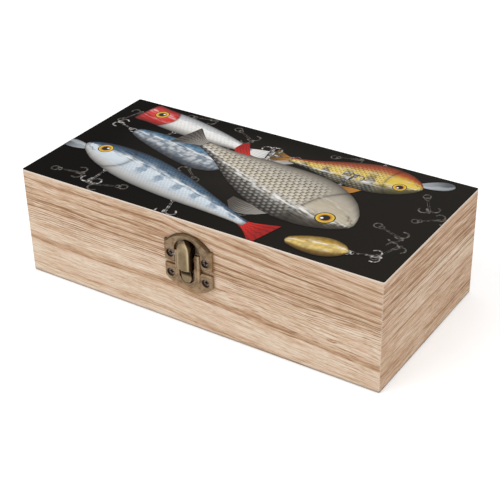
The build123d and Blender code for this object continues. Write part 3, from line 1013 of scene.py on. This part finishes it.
def bring_in(name: str, data: Optional[ID]) -> Object:
    """Puts a new object into the scene.

    Args:
        name: The object's name.
        data: Its curve, mesh, lamp or lens.

    Returns:
        The object.
    """
    added = bpy.data.objects.new(name, data)
    bpy.context.scene.collection.objects.link(added)
    return added


def shape_with(piece: Object, kind: str, **settings: Any) -> None:
    """Applies a modifier to the active piece.

    Args:
        piece: The piece.
        kind: The modifier's type.
        settings: Its settings.
    """
    modifier = piece.modifiers.new(kind.lower(), kind)
    for key, setting in settings.items():
        setattr(modifier, key, setting)
    bpy.ops.object.modifier_apply(modifier=modifier.name)


@dataclass
class Carcass:
    """The mitred body and lid, sawn apart after glueing, with their thin panels."""

    front_rings: tuple[GrowthRing, ...] = growth_rings(
        (5.4, 2.4, 0.50), (19.8, 4.8, 0.80, 2.6), (29.2, 1.6, 0.30), (35.3, 0.9, 0.60), (38.7, 1.1, 1.00),
        (42.4, 1.2, 1.00), (48.2, 1.3, 0.85), (53.8, 1.4, 1.00), (58.4, 1.3, 0.80), (65.8, 1.5, 0.75),
    )
    right_rings: tuple[GrowthRing, ...] = growth_rings(
        (8.7, 1.6, 0.40), (19.3, 1.1, 0.40), (24.6, 1.1, 0.80), (32.0, 1.0, 0.75), (35.0, 1.1, 0.85),
        (39.1, 1.1, 0.95), (43.5, 1.3, 0.45), (47.8, 1.1, 0.50), (52.2, 1.3, 0.65), (56.4, 1.1, 0.45),
    )
    back_rings: tuple[GrowthRing, ...] = growth_rings(
        (5.0, 1.6, 0.70), (9.5, 1.5, 0.50), (15.0, 1.6, 0.80), (22.0, 2.2, 0.50), (30.5, 1.5, 0.60),
        (41.0, 3.0, 0.80), (49.0, 1.8, 0.50), (56.0, 1.6, 0.60),
    )
    left_rings: tuple[GrowthRing, ...] = growth_rings(
        (7.0, 1.8, 0.60), (13.5, 1.5, 0.70), (20.5, 1.8, 0.50), (28.0, 1.5, 0.70), (36.5, 1.6, 0.80),
        (45.0, 2.0, 0.60), (52.0, 1.5, 0.70),
    )

    def build(self) -> None:
        """Dresses every board and panel."""
        front = CaseWood(
            "case_wood_front", Grain.LENGTH, self.front_rings, outer_face=-48.0, spread=0.005, low_fall=0.034,
        )
        back = CaseWood(
            "case_wood_back", Grain.LENGTH, self.back_rings, outer_face=48.0, fall=0.02, shift=310.0,
            brown_from=42.0, fleck_level=20.0,
        )
        right = CaseWood(
            "case_wood_right", Grain.WIDTH, self.right_rings, outer_face=100.0, fall=0.006, shift=150.0,
            swell=1.4, wave=0.9, brown_from=37.0, brown=0.26, fleck_level=15.0, flecks=0.42, base=0.18,
            low_brown=0.26, comb_level=37.0, comb_reach=11.0,
        )
        left = CaseWood(
            "case_wood_left", Grain.WIDTH, self.left_rings, outer_face=-100.0, fall=-0.01, shift=540.0,
            swell=2.0, wave=1.2,
        )
        dress(front.material(), "body_front_board", "lid_front_rail")
        dress(back.material(), "body_back_board", "lid_back_rail")
        dress(right.material(), "body_right_end", "lid_right_rail")
        dress(left.material(), "body_left_end", "lid_left_rail")
        dress(PanelVeneer("panel_veneer").material(), "bottom_panel", "lid_top_panel")


@dataclass
class PressLatch:
    """The front latch: two screwed plates, the sprung thumb lever and its pin."""

    lever_front: float = 6.1
    screw_face: float = 1.1
    hidden_below: float = 32.9
    strap_inner: float = 4.4
    warm_below: float = 26.0
    rows: ScrewRows = ScrewRows(column=9.85, low_row=28.875, high_row=39.475)
    # painted shade: the colour that the plates' side faces take
    plate_side_shade: Colour = paint(164, 128, 90)
    lever_plating: Colour = paint(108, 91, 68)
    lever_tarnish: Colour = paint(86, 69, 49)

    def build(self) -> None:
        """Dresses the latch."""
        strike = AgedBronze(
            "strike_bronze", bevel_highlight=0.0, rolled=0.95, wall_shade=0.05, crown=0.72, side=self.plate_side_shade,
            screws=self.rows,
        )
        plate = AgedBronze(
            "latch_bronze", bevel_highlight=0.0, rolled=0.95, wall_shade=0.05, crown=0.3, strap=self.strap_inner,
            warm_below=self.warm_below, side=self.plate_side_shade, screws=self.rows,
        )
        lever = AgedBronze(
            "lever_bronze", proud=self.lever_front, dark_to=3.2, bevel_highlight=0.5, wall_shade=0.75, swell=1.0,
            overhang=self.hidden_below, plating=self.lever_plating, tarnish=self.lever_tarnish,
        )
        screws = ScrewPlating("latch_screw_plating", face_out=self.screw_face, screws=self.rows)
        dress(strike.material(), "latch_strike_plate")
        dress(plate.material(), "latch_lever_plate")
        dress(lever.material(), "latch_lever")
        dress(DrawnSteel("latch_steel").material(), "latch_pivot_pin", "latch_spring")
        dress(screws.material(), "strike_plate_screws", "lever_plate_screws")


@dataclass
class StopHinges:
    """The pair of five-knuckle stop hinges on the back."""

    leaf_thickness: float = 0.9
    knuckle_front: float = 3.6

    def build(self) -> None:
        """Dresses the hinges."""
        leaves = AgedBronze("hinge_bronze", proud=self.knuckle_front, dark_to=0.5).material()
        pins = DrawnSteel("hinge_pin_steel").material()
        for side in ("left", "right"):
            dress(leaves, f"{side}_hinge_body_leaf", f"{side}_hinge_lid_leaf")
            dress(pins, f"{side}_hinge_pin")
        screws = ScrewPlating("hinge_screw_plating", face_out=self.leaf_thickness)
        dress(screws.material(), "hinge_body_screws", "hinge_lid_screws")


@dataclass(frozen=True)
class Station:
    """One cross-line of a flat outline: how far along it lies and where its edges are."""

    along: float
    lower: float
    upper: float


def smooth_outline(
    controls: Sequence[tuple[float, float, float]], length: float, steps: int = 22,
) -> list[Station]:
    """Draws a smooth outline through a few cross-lines.

    Args:
        controls: Place along, lower edge and upper edge, all as shares of the length.
        length: The outline's length, in millimetres.
        steps: How many steps there are between its first and last cross-line.

    Returns:
        The cross-lines from one end to the other.
    """
    def slope(index: int, part: int) -> float:
        """Gives an edge's slope at a control."""
        before, after = controls[max(index - 1, 0)], controls[min(index + 1, len(controls) - 1)]
        return (after[part] - before[part]) / (after[0] - before[0])

    stations = []
    first, last = controls[0][0], controls[-1][0]
    for step in range(steps + 1):
        along = first + (last - first) * (1 - math.cos(math.pi * step / steps)) / 2
        index = max(i for i in range(len(controls) - 1) if controls[i][0] <= along + 1e-9)
        start, end = controls[index], controls[index + 1]
        span = end[0] - start[0]
        t = (along - start[0]) / span
        # each edge is a cubic from one control to the next that keeps the slopes at both
        lower, upper = (
            (2 * t**3 - 3 * t**2 + 1) * start[part] + (t**3 - 2 * t**2 + t) * span * slope(index, part)
            + (3 * t**2 - 2 * t**3) * end[part] + (t**3 - t**2) * span * slope(index + 1, part)
            for part in (1, 2)
        )
        stations.append(Station(along * length, lower * length, upper * length))
    return stations


def round_outline(radius: float, steps: int = 16, tip: float = 0.03) -> list[Station]:
    """Draws a disc as cross-lines.

    Args:
        radius: The disc's radius, in millimetres.
        steps: How many steps there are between its first and last cross-line.
        tip: The share of the half turn that is left off at each end.

    Returns:
        The cross-lines from one side to the other.
    """
    angles = [math.pi * (tip + (1 - 2 * tip) * step / steps) for step in range(steps + 1)]
    return [
        Station(-radius * math.cos(angle), -radius * math.sin(angle), radius * math.sin(angle))
        for angle in angles
    ]


@dataclass(frozen=True)
class PrintBench:
    """Where flat pieces of the print are modelled, each in its own millimetres about the origin."""

    film: float = 0.010
    wire_flatness: float = 0.018
    wire_rounding: int = 1
    wire_steps: int = 5

    @staticmethod
    def select_side(piece: Object, side: float) -> None:
        """Selects those points of the piece being edited that lie at one place along it.

        Args:
            piece: The piece.
            side: The place, in millimetres.
        """
        bpy.ops.mesh.select_all(action="DESELECT")
        mesh = bmesh.from_edit_mesh(piece.data)
        for point in mesh.verts:
            point.select_set(abs(point.co.x / MM - side) < NEARLY)
        mesh.select_flush(True)
        bmesh.update_edit_mesh(piece.data)

    @staticmethod
    def fit_edge(old: Station, new: Station) -> None:
        """Moves the selected cross-line from one station to another with the transform tools.

        Args:
            old: The station it is at.
            new: The station it goes to.
        """
        middle = (old.lower + old.upper) / 2
        bpy.ops.transform.resize(
            value=(1.0, (new.upper - new.lower) / (old.upper - old.lower), 1.0),
            center_override=(old.along * MM, middle * MM, 0.0),
        )
        bpy.ops.transform.translate(
            value=((new.along - old.along) * MM, ((new.lower + new.upper) / 2 - middle) * MM, 0.0),
        )

    def patch(self, name: str, stations: Sequence[Station], material: Material) -> Object:
        """Models a thin closed patch by extruding a cross-line from station to station.

        Args:
            name: The patch's name.
            stations: Its cross-lines.
            material: Its print.

        Returns:
            The patch.
        """
        take_up()
        bpy.ops.mesh.primitive_plane_add(size=2.0 * MM)
        patch = bpy.context.active_object
        patch.name = name
        bpy.ops.object.mode_set(mode="EDIT")
        for side, station in ((-1.0, stations[0]), (1.0, stations[1])):
            self.select_side(patch, side)
            self.fit_edge(Station(side, -1.0, 1.0), station)
        for old, new in zip(stations[1:], stations[2:]):
            bpy.ops.mesh.extrude_edges_move()
            self.fit_edge(old, new)
        bpy.ops.mesh.select_all(action="SELECT")
        bpy.ops.mesh.normals_make_consistent(inside=False)
        bpy.ops.object.mode_set(mode="OBJECT")
        if patch.data.polygons[0].normal.z < 0:
            patch.data.flip_normals()
        self.map_patch(patch.data, stations)
        shape_with(patch, "SOLIDIFY", thickness=self.film * MM, offset=1.0)
        patch.data.materials.append(material)
        return patch

    @staticmethod
    def map_patch(mesh: Mesh, stations: Sequence[Station]) -> None:
        """Lays the plan map and the skin map over a patch.

        Args:
            mesh: The patch's mesh.
            stations: Its cross-lines.
        """
        while mesh.uv_layers:
            mesh.uv_layers.remove(mesh.uv_layers[0])
        plan, skin = mesh.uv_layers.new(name=PLAN_MAP), mesh.uv_layers.new(name=SKIN_MAP)
        start, end = stations[0].along, stations[-1].along
        for loop in mesh.loops:
            place = mesh.vertices[loop.vertex_index].co / MM
            near = min(stations, key=lambda station: abs(station.along - place.x))
            high = place.y > (near.lower + near.upper) / 2
            plan.data[loop.index].uv = (place.x / PLAN_UNIT, place.y / PLAN_UNIT)
            skin.data[loop.index].uv = ((place.x - start) / (end - start), 1.0 if high else 0.0)

    def wire(
        self, name: str, points: Sequence[Point], radius: float, material: Material,
        closed: bool = False,
    ) -> Object:
        """Bends a wire through points and presses it flat.

        Args:
            name: The wire's name.
            points: Its course, in millimetres.
            radius: Half its thickness, in millimetres.
            material: Its print.
            closed: Whether it closes into a ring.

        Returns:
            The wire as a mesh.
        """
        curve = bpy.data.curves.new(name, "CURVE")
        curve.dimensions = "3D"
        curve.bevel_depth = radius * MM
        curve.bevel_resolution = self.wire_rounding
        curve.resolution_u = self.wire_steps
        curve.use_fill_caps = True
        spline = curve.splines.new("BEZIER")
        spline.bezier_points.add(len(points) - 1)
        for knot, (x, y) in zip(spline.bezier_points, points):
            knot.co = (x * MM, y * MM, 0.0)
            knot.handle_left_type = knot.handle_right_type = "AUTO"
        spline.use_cyclic_u = closed
        take_up(bring_in(name, curve))
        bpy.ops.object.convert(target="MESH")
        wire = bpy.context.active_object
        wire.scale.z = self.wire_flatness
        bpy.ops.object.transform_apply(location=False, rotation=False, scale=True)
        wire.data.materials.append(material)
        return wire

    @staticmethod
    def settle(
        piece: Object, place: Point, turn: float, lift: float, size: float = 1.0,
    ) -> Object:
        """Turns and moves a piece to its place, leaving its object at the origin.

        Args:
            piece: The piece.
            place: Where its own origin goes, in millimetres.
            turn: Its turn, in degrees.
            lift: Its height, in millimetres.
            size: Its scale.

        Returns:
            The piece.
        """
        take_up(piece)
        piece.location = (place[0] * MM, place[1] * MM, lift * MM)
        piece.rotation_euler = (0.0, 0.0, math.radians(turn))
        piece.scale = (size, size, 1.0)
        bpy.ops.object.transform_apply(location=True, rotation=True, scale=True)
        return piece

    @staticmethod
    def twin(piece: Object, name: str) -> Object:
        """Copies a piece together with its mesh."""
        return bring_in(name, piece.data.copy())

    @staticmethod
    def join(name: str, pieces: Sequence[Object]) -> Object:
        """Joins pieces into one.

        Args:
            name: The name that the joined piece takes.
            pieces: The pieces.

        Returns:
            The joined piece.
        """
        take_up(*pieces)
        bpy.ops.object.join()
        pieces[0].name = name
        return pieces[0]


class Shape(Enum):
    """Outlines of lure bodies, as shares of their length: place along, lower and upper edge."""

    SLIM = (
        (0.0, -0.010, 0.012), (0.03, -0.040, 0.042), (0.14, -0.085, 0.088), (0.34, -0.108, 0.118),
        (0.58, -0.088, 0.100), (0.82, -0.042, 0.055), (0.95, -0.020, 0.030), (1.0, -0.018, 0.026),
    )
    DEEP = (
        (0.0, -0.020, 0.020), (0.04, -0.085, 0.075), (0.16, -0.170, 0.155), (0.36, -0.205, 0.195),
        (0.62, -0.140, 0.150), (0.85, -0.055, 0.068), (1.0, -0.028, 0.034),
    )
    POPPER = (
        (0.0, -0.120, 0.120), (0.02, -0.132, 0.132), (0.12, -0.122, 0.126), (0.40, -0.120, 0.128),
        (0.70, -0.088, 0.094), (0.92, -0.045, 0.048), (1.0, -0.022, 0.024),
    )
    SPOON = (
        (0.0, -0.028, 0.028), (0.03, -0.056, 0.058), (0.20, -0.100, 0.104), (0.50, -0.145, 0.148),
        (0.78, -0.158, 0.160), (0.94, -0.105, 0.106), (0.99, -0.045, 0.045), (1.0, -0.015, 0.015),
    )
    BLADE = (
        (0.0, -0.040, 0.040), (0.05, -0.110, 0.110), (0.35, -0.230, 0.230), (0.65, -0.260, 0.260),
        (0.90, -0.160, 0.160), (1.0, -0.030, 0.030),
    )
    FORKED_TAIL = (
        (0.0, -0.10, 0.10), (0.35, -0.22, 0.22), (0.7, -0.42, 0.42), (0.9, -0.55, 0.55), (1.0, -0.60, 0.60),
    )
    FIN = ((0.0, -0.02, 0.02), (0.3, -0.03, 0.30), (0.7, -0.05, 0.38), (1.0, -0.08, 0.12))
    FEATHER = (
        (0.0, -0.06, 0.06), (0.3, -0.16, 0.15), (0.7, -0.20, 0.18), (0.92, -0.10, 0.12), (1.0, -0.02, 0.03),
    )
    BIB = (
        (0.0, -0.12, 0.12), (0.3, -0.22, 0.22), (0.7, -0.26, 0.26), (0.95, -0.16, 0.16), (1.0, -0.06, 0.06),
    )


@dataclass(frozen=True)
class Trim:
    """A part of a lure beside its body: its shape, print, root place, turn and length."""

    shape: Shape
    finish: FinPrint
    along: float
    across: float
    turn: float
    length: float


@dataclass(frozen=True)
class HookPlace:
    """Where a treble hook's eye lies, on a lure in shares of its length, and its turn and size."""

    along: float
    across: float
    turn: float
    size: float


@dataclass(frozen=True)
class LureDesign:
    """One lure of the print: its body, its trim and where it lies on the lid.

    The eye, if there is one, is given by its place in shares of the length, and its size.
    """

    shape: Shape
    finish: LurePrint
    length: float
    place: Point
    turn: float
    layer: int
    trims: tuple[Trim, ...] = ()
    hooks: tuple[HookPlace, ...] = ()
    eye: Optional[tuple[float, float, float]] = None


def lure_designs() -> dict[str, LureDesign]:
    """Lists the lures of the picture, all of common kinds.

    Returns:
        Each lure's design, by the lure's name.
    """
    red, white, blue = paint(208, 34, 28), paint(234, 232, 228), paint(92, 142, 176)
    silver, ink, gold = paint(190, 194, 198), paint(34, 30, 28), paint(198, 158, 62)
    clear = FinPrint("print_bib", paint(150, 156, 160), paint(84, 88, 92), paint(210, 214, 218), 1.0, 0.35)
    red_tail = FinPrint("print_red_tail", paint(214, 40, 32), paint(160, 24, 20), ink, 5.0, 0.5)
    white_feather = FinPrint(
        "print_white_feather", white, paint(170, 168, 164), paint(110, 106, 104), 6.0, 0.5,
    )
    grey_tail = FinPrint("print_grey_tail", paint(158, 152, 144), paint(84, 78, 72), ink, 7.0, 0.6)
    olive_fin = FinPrint("print_olive_fin", paint(196, 132, 50), paint(104, 78, 36), ink, 6.0, 0.6)
    return {
        "print_shad": LureDesign(
            Shape.DEEP,
            LurePrint("print_shad_skin", paint(74, 66, 54), paint(186, 174, 152), paint(220, 210, 192),
                      scales=0.9, scale_size=0.36, mark=paint(44, 38, 34)),
            110.0, (66.0, -15.0), 161.0, 3,
            (Trim(Shape.FORKED_TAIL, grey_tail, 0.97, 0.0, 4.0, 18.0),
             Trim(Shape.FIN, grey_tail, 0.30, 0.17, 14.0, 24.0),
             Trim(Shape.FIN, red_tail, 0.74, -0.06, -34.0, 18.0)),
            (HookPlace(0.30, -0.20, -80.0, 1.7), HookPlace(0.70, -0.11, -60.0, 1.6)), (0.125, 0.030, 1.9),
        ),
        "print_slim_minnow": LureDesign(
            Shape.SLIM,
            LurePrint("print_minnow_skin", paint(50, 84, 112), paint(206, 216, 224), white,
                      scales=0.25, scale_size=0.22, bars=0.7, bar_count=9.0, mark=paint(54, 96, 128)),
            117.0, (-90.0, -9.0), -14.0, 4,
            (Trim(Shape.BIB, clear, 0.03, -0.03, 190.0, 15.0),
             Trim(Shape.FORKED_TAIL, red_tail, 0.97, 0.0, 0.0, 17.0)),
            (HookPlace(0.26, -0.10, -75.0, 1.7), HookPlace(0.66, -0.07, -60.0, 1.6)), (0.10, 0.022, 1.6),
        ),
        "print_perch_plug": LureDesign(
            Shape.DEEP,
            LurePrint("print_perch_skin", paint(92, 84, 44), paint(222, 190, 66), paint(214, 96, 44),
                      scales=0.6, scale_size=0.24, bars=0.8, bar_count=6.0),
            70.0, (78.0, 33.0), 184.0, 2,
            (Trim(Shape.BIB, clear, 0.03, -0.05, 200.0, 16.0),
             Trim(Shape.FIN, olive_fin, 0.36, 0.18, 10.0, 18.0),
             Trim(Shape.FORKED_TAIL, olive_fin, 0.97, 0.0, 0.0, 12.0)),
            (HookPlace(0.36, -0.20, -80.0, 1.3), HookPlace(0.99, -0.02, 12.0, 1.4)), (0.15, 0.040, 1.35),
        ),
        "print_red_head_popper": LureDesign(
            Shape.POPPER,
            LurePrint("print_popper_skin", paint(206, 208, 210), white, paint(214, 210, 204), head=red,
                      scales=0.2, scale_size=0.26),
            74.0, (-87.0, 37.0), -9.0, 1,
            (Trim(Shape.FEATHER, white_feather, 0.97, 0.0, 8.0, 28.0),
             Trim(Shape.FEATHER, red_tail, 0.97, 0.0, -12.0, 24.0)),
            (HookPlace(0.40, -0.12, -100.0, 1.5), HookPlace(0.86, -0.05, -70.0, 1.5)), (0.13, 0.03, 1.5),
        ),
        "print_spoon": LureDesign(
            Shape.SPOON,
            LurePrint("print_spoon_metal", blue, silver, paint(120, 124, 128), dimples=0.75, gill=0.0,
                      mark=paint(62, 84, 104)),
            64.0, (-78.0, 15.0), -11.0, 2, (), (HookPlace(-0.05, 0.0, 172.0, 1.4),),
        ),
        "print_spinner_blade": LureDesign(
            Shape.BLADE,
            LurePrint("print_blade_metal", gold, paint(230, 200, 112), paint(150, 112, 40), dimples=0.4,
                      gill=0.0, mark=paint(110, 80, 30)),
            30.0, (46.0, -39.0), 9.0, 5, (), (HookPlace(1.05, 0.0, 6.0, 1.5),),
        ),
    }


@dataclass
class PrintedTop:
    """The printed sheet glued on the lid, with a scatter of common lures as its picture."""

    sheet_share: float = 0.26
    first_layer: float = 0.03
    layer_step: float = 0.04
    trim_drop: float = 0.022
    trim_step: float = 0.003
    trim_stations: int = 10
    hook_drop: float = 0.016
    eye_lift: float = 0.014
    edge_gap: float = 0.12
    loose_lift: float = 0.008
    loose_hooks: tuple[HookPlace, ...] = tuple(HookPlace(*row) for row in (
        (84.0, 26.0, -60.0, 1.5), (90.0, 6.0, 35.0, 1.4), (78.0, -8.0, -20.0, 1.6), (88.0, -30.0, 70.0, 1.5),
        (-92.0, 24.0, 75.0, 1.4), (-84.0, -38.0, 10.0, 1.6), (-48.0, -38.0, 200.0, 1.7),
        (-22.0, -12.0, 140.0, 1.5), (10.0, -22.0, -30.0, 1.4), (-60.0, 44.0, 12.0, 1.5),
        (28.0, 42.0, 20.0, 1.4), (-30.0, 42.0, -30.0, 1.6),
    ))
    corner_radius: float = 1.0
    corner_segments: int = 5
    rim_width: float = 0.05
    rim_segments: int = 2
    rim_angle: float = 60.0
    wire_radius: float = 0.30
    ring_share: float = 0.8
    ring_knots: int = 8
    rings: tuple[Point, ...] = ((-0.1, 0.75), (-1.6, 1.2))
    bend: tuple[Point, ...] = ((0.6, 0.0), (4.6, 0.1), (7.0, 0.0), (8.4, -1.5), (7.4, -3.2), (5.6, -2.9))
    front_bend: Point = (1.04, 0.22)
    eye_radius: float = 2.6
    dim_bright: Colour = paint(118, 112, 106)
    dim_grey: Colour = paint(70, 65, 60)
    bench: PrintBench = PrintBench()
    designs: dict[str, LureDesign] = field(default_factory=lure_designs)
    low: Vector = field(init=False)
    high: Vector = field(init=False)
    top: float = field(init=False)

    def build(self) -> None:
        """Makes the sheet, then lays the picture on it."""
        self.low, self.high = (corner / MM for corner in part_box("printed_top_sheet"))
        self.top = self.high.z - self.sheet_share
        self.make_sheet()
        wire_print = WirePrint("print_wire").material()
        eye_print = EyePrint("print_eye").material()
        hook = self.model_hook(wire_print)
        eye = self.bench.patch("print_eye_pattern", round_outline(self.eye_radius), eye_print)
        for name, design in self.designs.items():
            self.lay_lure(name, design, hook, eye)
        self.scatter_hooks(hook)
        for pattern in (hook, eye):
            bpy.data.objects.remove(pattern)

    def keep(self, piece: Object) -> None:
        """Lets a finished piece of the print ride on the lid.

        Args:
            piece: The piece.
        """
        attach(piece, "lid")
        LOG.info("made %s", piece.name)

    def make_sheet(self) -> None:
        """Models the sheet: a slab with rounded corners and a softened upper edge."""
        take_up()
        size, middle = self.high - self.low, (self.high + self.low) / 2
        thickness = self.top - self.low.z
        bpy.ops.mesh.primitive_cube_add(
            size=MM, location=(middle.x * MM, middle.y * MM, (self.low.z + thickness / 2) * MM),
        )
        sheet = bpy.context.active_object
        sheet.name = "printed_sheet"
        sheet.scale = (size.x, size.y, thickness)
        bpy.ops.object.transform_apply(location=True, rotation=True, scale=True)
        weights = sheet.data.attributes.new("bevel_weight_edge", "FLOAT", "EDGE")
        for edge in sheet.data.edges:
            ends = [sheet.data.vertices[index].co for index in edge.vertices]
            upright = abs(ends[0].z - ends[1].z) > NEARLY * MM
            weights.data[edge.index].value = 1.0 if upright else 0.0
        shape_with(
            sheet, "BEVEL", limit_method="WEIGHT", width=self.corner_radius * MM,
            segments=self.corner_segments,
        )
        shape_with(
            sheet, "BEVEL", limit_method="ANGLE", angle_limit=math.radians(self.rim_angle),
            width=self.rim_width * MM, segments=self.rim_segments,
        )
        sheet.data.materials.append(GroundPrint("print_ground").material())
        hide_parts("printed_top_sheet")
        self.keep(sheet)

    def model_hook(self, wire_print: Material) -> Object:
        """Models a treble hook with its eye and split ring, lying flat.

        Args:
            wire_print: Its print.

        Returns:
            The hook.
        """
        bench, along, across = self.bench, *self.front_bend
        courses = (
            self.bend, [(x, -y) for x, y in self.bend], [(x * along, y * across) for x, y in self.bend],
        )
        parts = [bench.wire("hook_wire", course, self.wire_radius, wire_print) for course in courses]
        angles = [math.tau * step / self.ring_knots for step in range(self.ring_knots)]
        for reach, radius in self.rings:
            ring = [(reach + radius * math.cos(angle), radius * math.sin(angle)) for angle in angles]
            thin = self.wire_radius * self.ring_share
            parts.append(bench.wire("hook_ring", ring, thin, wire_print, closed=True))
        return bench.join("treble_hook_pattern", parts)

    def lay_lure(self, name: str, design: LureDesign, hook: Object, eye: Object) -> None:
        """Models one lure flat and lays it in its place.

        Args:
            name: The lure's name.
            design: Its design.
            hook: The pattern of its hooks.
            eye: The pattern of its eye.
        """
        bench, length = self.bench, design.length
        skin = design.finish.material()
        parts = [bench.patch(name, smooth_outline(design.shape.value, length), skin)]
        for index, trim in enumerate(design.trims):
            outline = smooth_outline(trim.shape.value, trim.length, self.trim_stations)
            fin = bench.patch(f"{name}_trim_{index}", outline, trim.finish.material())
            drop = self.trim_drop + index * self.trim_step
            parts.append(bench.settle(fin, (trim.along * length, trim.across * length), trim.turn, -drop))
        for spot in design.hooks:
            place = (spot.along * length, spot.across * length)
            twin = bench.twin(hook, f"{name}_hook")
            parts.append(bench.settle(twin, place, spot.turn, -self.hook_drop, spot.size))
        if design.eye:
            along, across, size = design.eye
            twin = bench.twin(eye, f"{name}_eye")
            parts.append(bench.settle(twin, (along * length, across * length), 0.0, self.eye_lift, size))
        lift = self.top + self.first_layer + design.layer * self.layer_step
        lure = bench.settle(bench.join(name, parts), design.place, design.turn, lift)
        self.crop()
        self.keep(lure)

    def scatter_hooks(self, hook: Object) -> None:
        """Lays loose treble hooks, half lost in shadow, under the lures.

        Args:
            hook: Their pattern.
        """
        dim = WirePrint("print_dim_wire", bright=self.dim_bright, grey=self.dim_grey).material()
        loose = []
        for spot in self.loose_hooks:
            twin = self.bench.twin(hook, "loose_hook")
            twin.data.materials[0] = dim
            place = (spot.along, spot.across)
            loose.append(self.bench.settle(twin, place, spot.turn, self.top + self.loose_lift, spot.size))
        scatter = self.bench.join("print_loose_hooks", loose)
        self.crop()
        self.keep(scatter)

    def crop(self) -> None:
        """Cuts off what reaches of the active piece past the sheet's edges, as a trimmed print is."""
        bpy.ops.object.mode_set(mode="EDIT")
        for normal in (Vector((1, 0, 0)), Vector((-1, 0, 0)), Vector((0, 1, 0)), Vector((0, -1, 0))):
            edge = (self.high if sum(normal) > 0 else self.low) - normal * self.edge_gap
            bpy.ops.mesh.select_all(action="SELECT")
            bpy.ops.mesh.bisect(plane_co=edge * MM, plane_no=normal, use_fill=True, clear_outer=True)
        bpy.ops.object.mode_set(mode="OBJECT")


def seen_rays(desk: ShaderDesk) -> Value:
    """Tells the rays by which a thing is seen from those that light another.

    Args:
        desk: The desk of the material or the surround.

    Returns:
        1 for rays from the camera, a mirror or a glass, and 0 for all others.
    """
    path = desk.node("ShaderNodeLightPath")
    seen = Value(path.outputs["Is Camera Ray"])
    for ray in ("Is Glossy Ray", "Is Transmission Ray"):
        seen = seen.greatest(Value(path.outputs[ray]))
    return seen


@dataclass(frozen=True)
class Softbox:
    """A square lamp that faces the object: its place and side in metres, and its power in watts."""

    name: str
    place: tuple[float, float, float]
    side: float
    watts: float

    def hang(self) -> None:
        """Hangs the lamp."""
        lamp = bpy.data.lights.new(self.name, "AREA")
        lamp.size = self.side
        lamp.energy = self.watts
        hung = bring_in(self.name, lamp)
        hung.location = self.place
        hung.rotation_euler = (-Vector(self.place)).to_track_quat("-Z", "Y").to_euler()


@dataclass
class Studio:
    """A pale floor, soft lamps, a white surround and the camera; its lengths are in millimetres."""

    target: tuple[float, float, float] = (1.694, 0.0, 18.436)
    azimuth: float = 33.521
    elevation: float = 31.292
    roll: float = -1.296
    distance: float = 616.111
    lens: float = 89.203
    sensor: float = 36.0
    clip_start: float = 10.0
    floor_side: float = 8000.0
    floor_glow: float = 0.36
    surround_light: float = 0.78
    paper: tuple[Colour, Colour] = (paint(232, 232, 232), paint(236, 236, 236))
    fibres: Cloud = Cloud(4.0, 4.0, 1.0, 3.0)
    lamps: tuple[Softbox, ...] = (
        Softbox("key_softbox", (-0.55, -0.95, 1.15), 0.9, 7.0),
        Softbox("side_softbox", (1.25, -0.25, 0.75), 0.7, 2.2),
    )

    def build(self) -> None:
        """Sets up everything around the object."""
        self.lay_floor()
        self.light_surround()
        for lamp in self.lamps:
            lamp.hang()
        self.place_camera()

    def lay_floor(self) -> None:
        """Lays the floor, which keeps the object's shadow."""
        take_up()
        bpy.ops.mesh.primitive_plane_add(size=self.floor_side * MM, location=(0.0, 0.0, 0.0))
        floor = bpy.context.active_object
        floor.name = "studio_floor"
        desk = material_desk("studio_floor_paper")
        floor.data.materials.append(desk.finish(
            base_color=desk.mix(desk.cloud(self.fibres, *desk.place_mm()), *self.paper),
            roughness=0.9, specular_ior_level=0.1,
            emission_color=desk.mix(seen_rays(desk) * self.floor_glow, paint(0, 0, 0), paint(255, 255, 255)),
            emission_strength=1.0,
        ))

    def light_surround(self) -> None:
        """Makes the surround white to see and a little dimmer as a light."""
        bpy.context.scene.world = bpy.data.worlds.new("studio_surround")
        desk = ShaderDesk(bpy.context.scene.world, "Background")
        glow = seen_rays(desk) * (1.0 - self.surround_light) + self.surround_light
        desk.finish(color=paint(255, 255, 255), strength=glow)

    def place_camera(self) -> None:
        """Places the camera and makes it the scene's."""
        turn, lift, roll = (math.radians(angle) for angle in (self.azimuth, self.elevation, self.roll))
        back = Vector((
            math.sin(turn) * math.cos(lift), -math.cos(turn) * math.cos(lift), math.sin(lift),
        ))
        right = Vector((0.0, 0.0, 1.0)).cross(back).normalized()
        up = back.cross(right)
        across = right * math.cos(roll) + up * math.sin(roll)
        upright = up * math.cos(roll) - right * math.sin(roll)
        lens = bpy.data.cameras.new("studio_camera")
        lens.lens = self.lens
        lens.sensor_width = self.sensor
        lens.clip_start = self.clip_start * MM
        camera = bring_in("studio_camera", lens)
        place = (Vector(self.target) + back * self.distance) * MM
        aim = Matrix((across, upright, back)).transposed().to_4x4()
        camera.matrix_world = Matrix.Translation(place) @ aim
        bpy.context.scene.camera = camera


def main() -> None:
    """Builds the studio and dresses the box, one sub-assembly after the other."""
    logging.basicConfig(level=logging.INFO, format="%(name)s: %(message)s")
    bpy.context.scene.view_settings.view_transform = "Standard"
    take_up()
    for assembly in (Studio(), Carcass(), PrintedTop(), PressLatch(), StopHinges()):
        assembly.build()
        LOG.info("built %s", type(assembly).__name__)


if __name__ == "__main__":
    main()
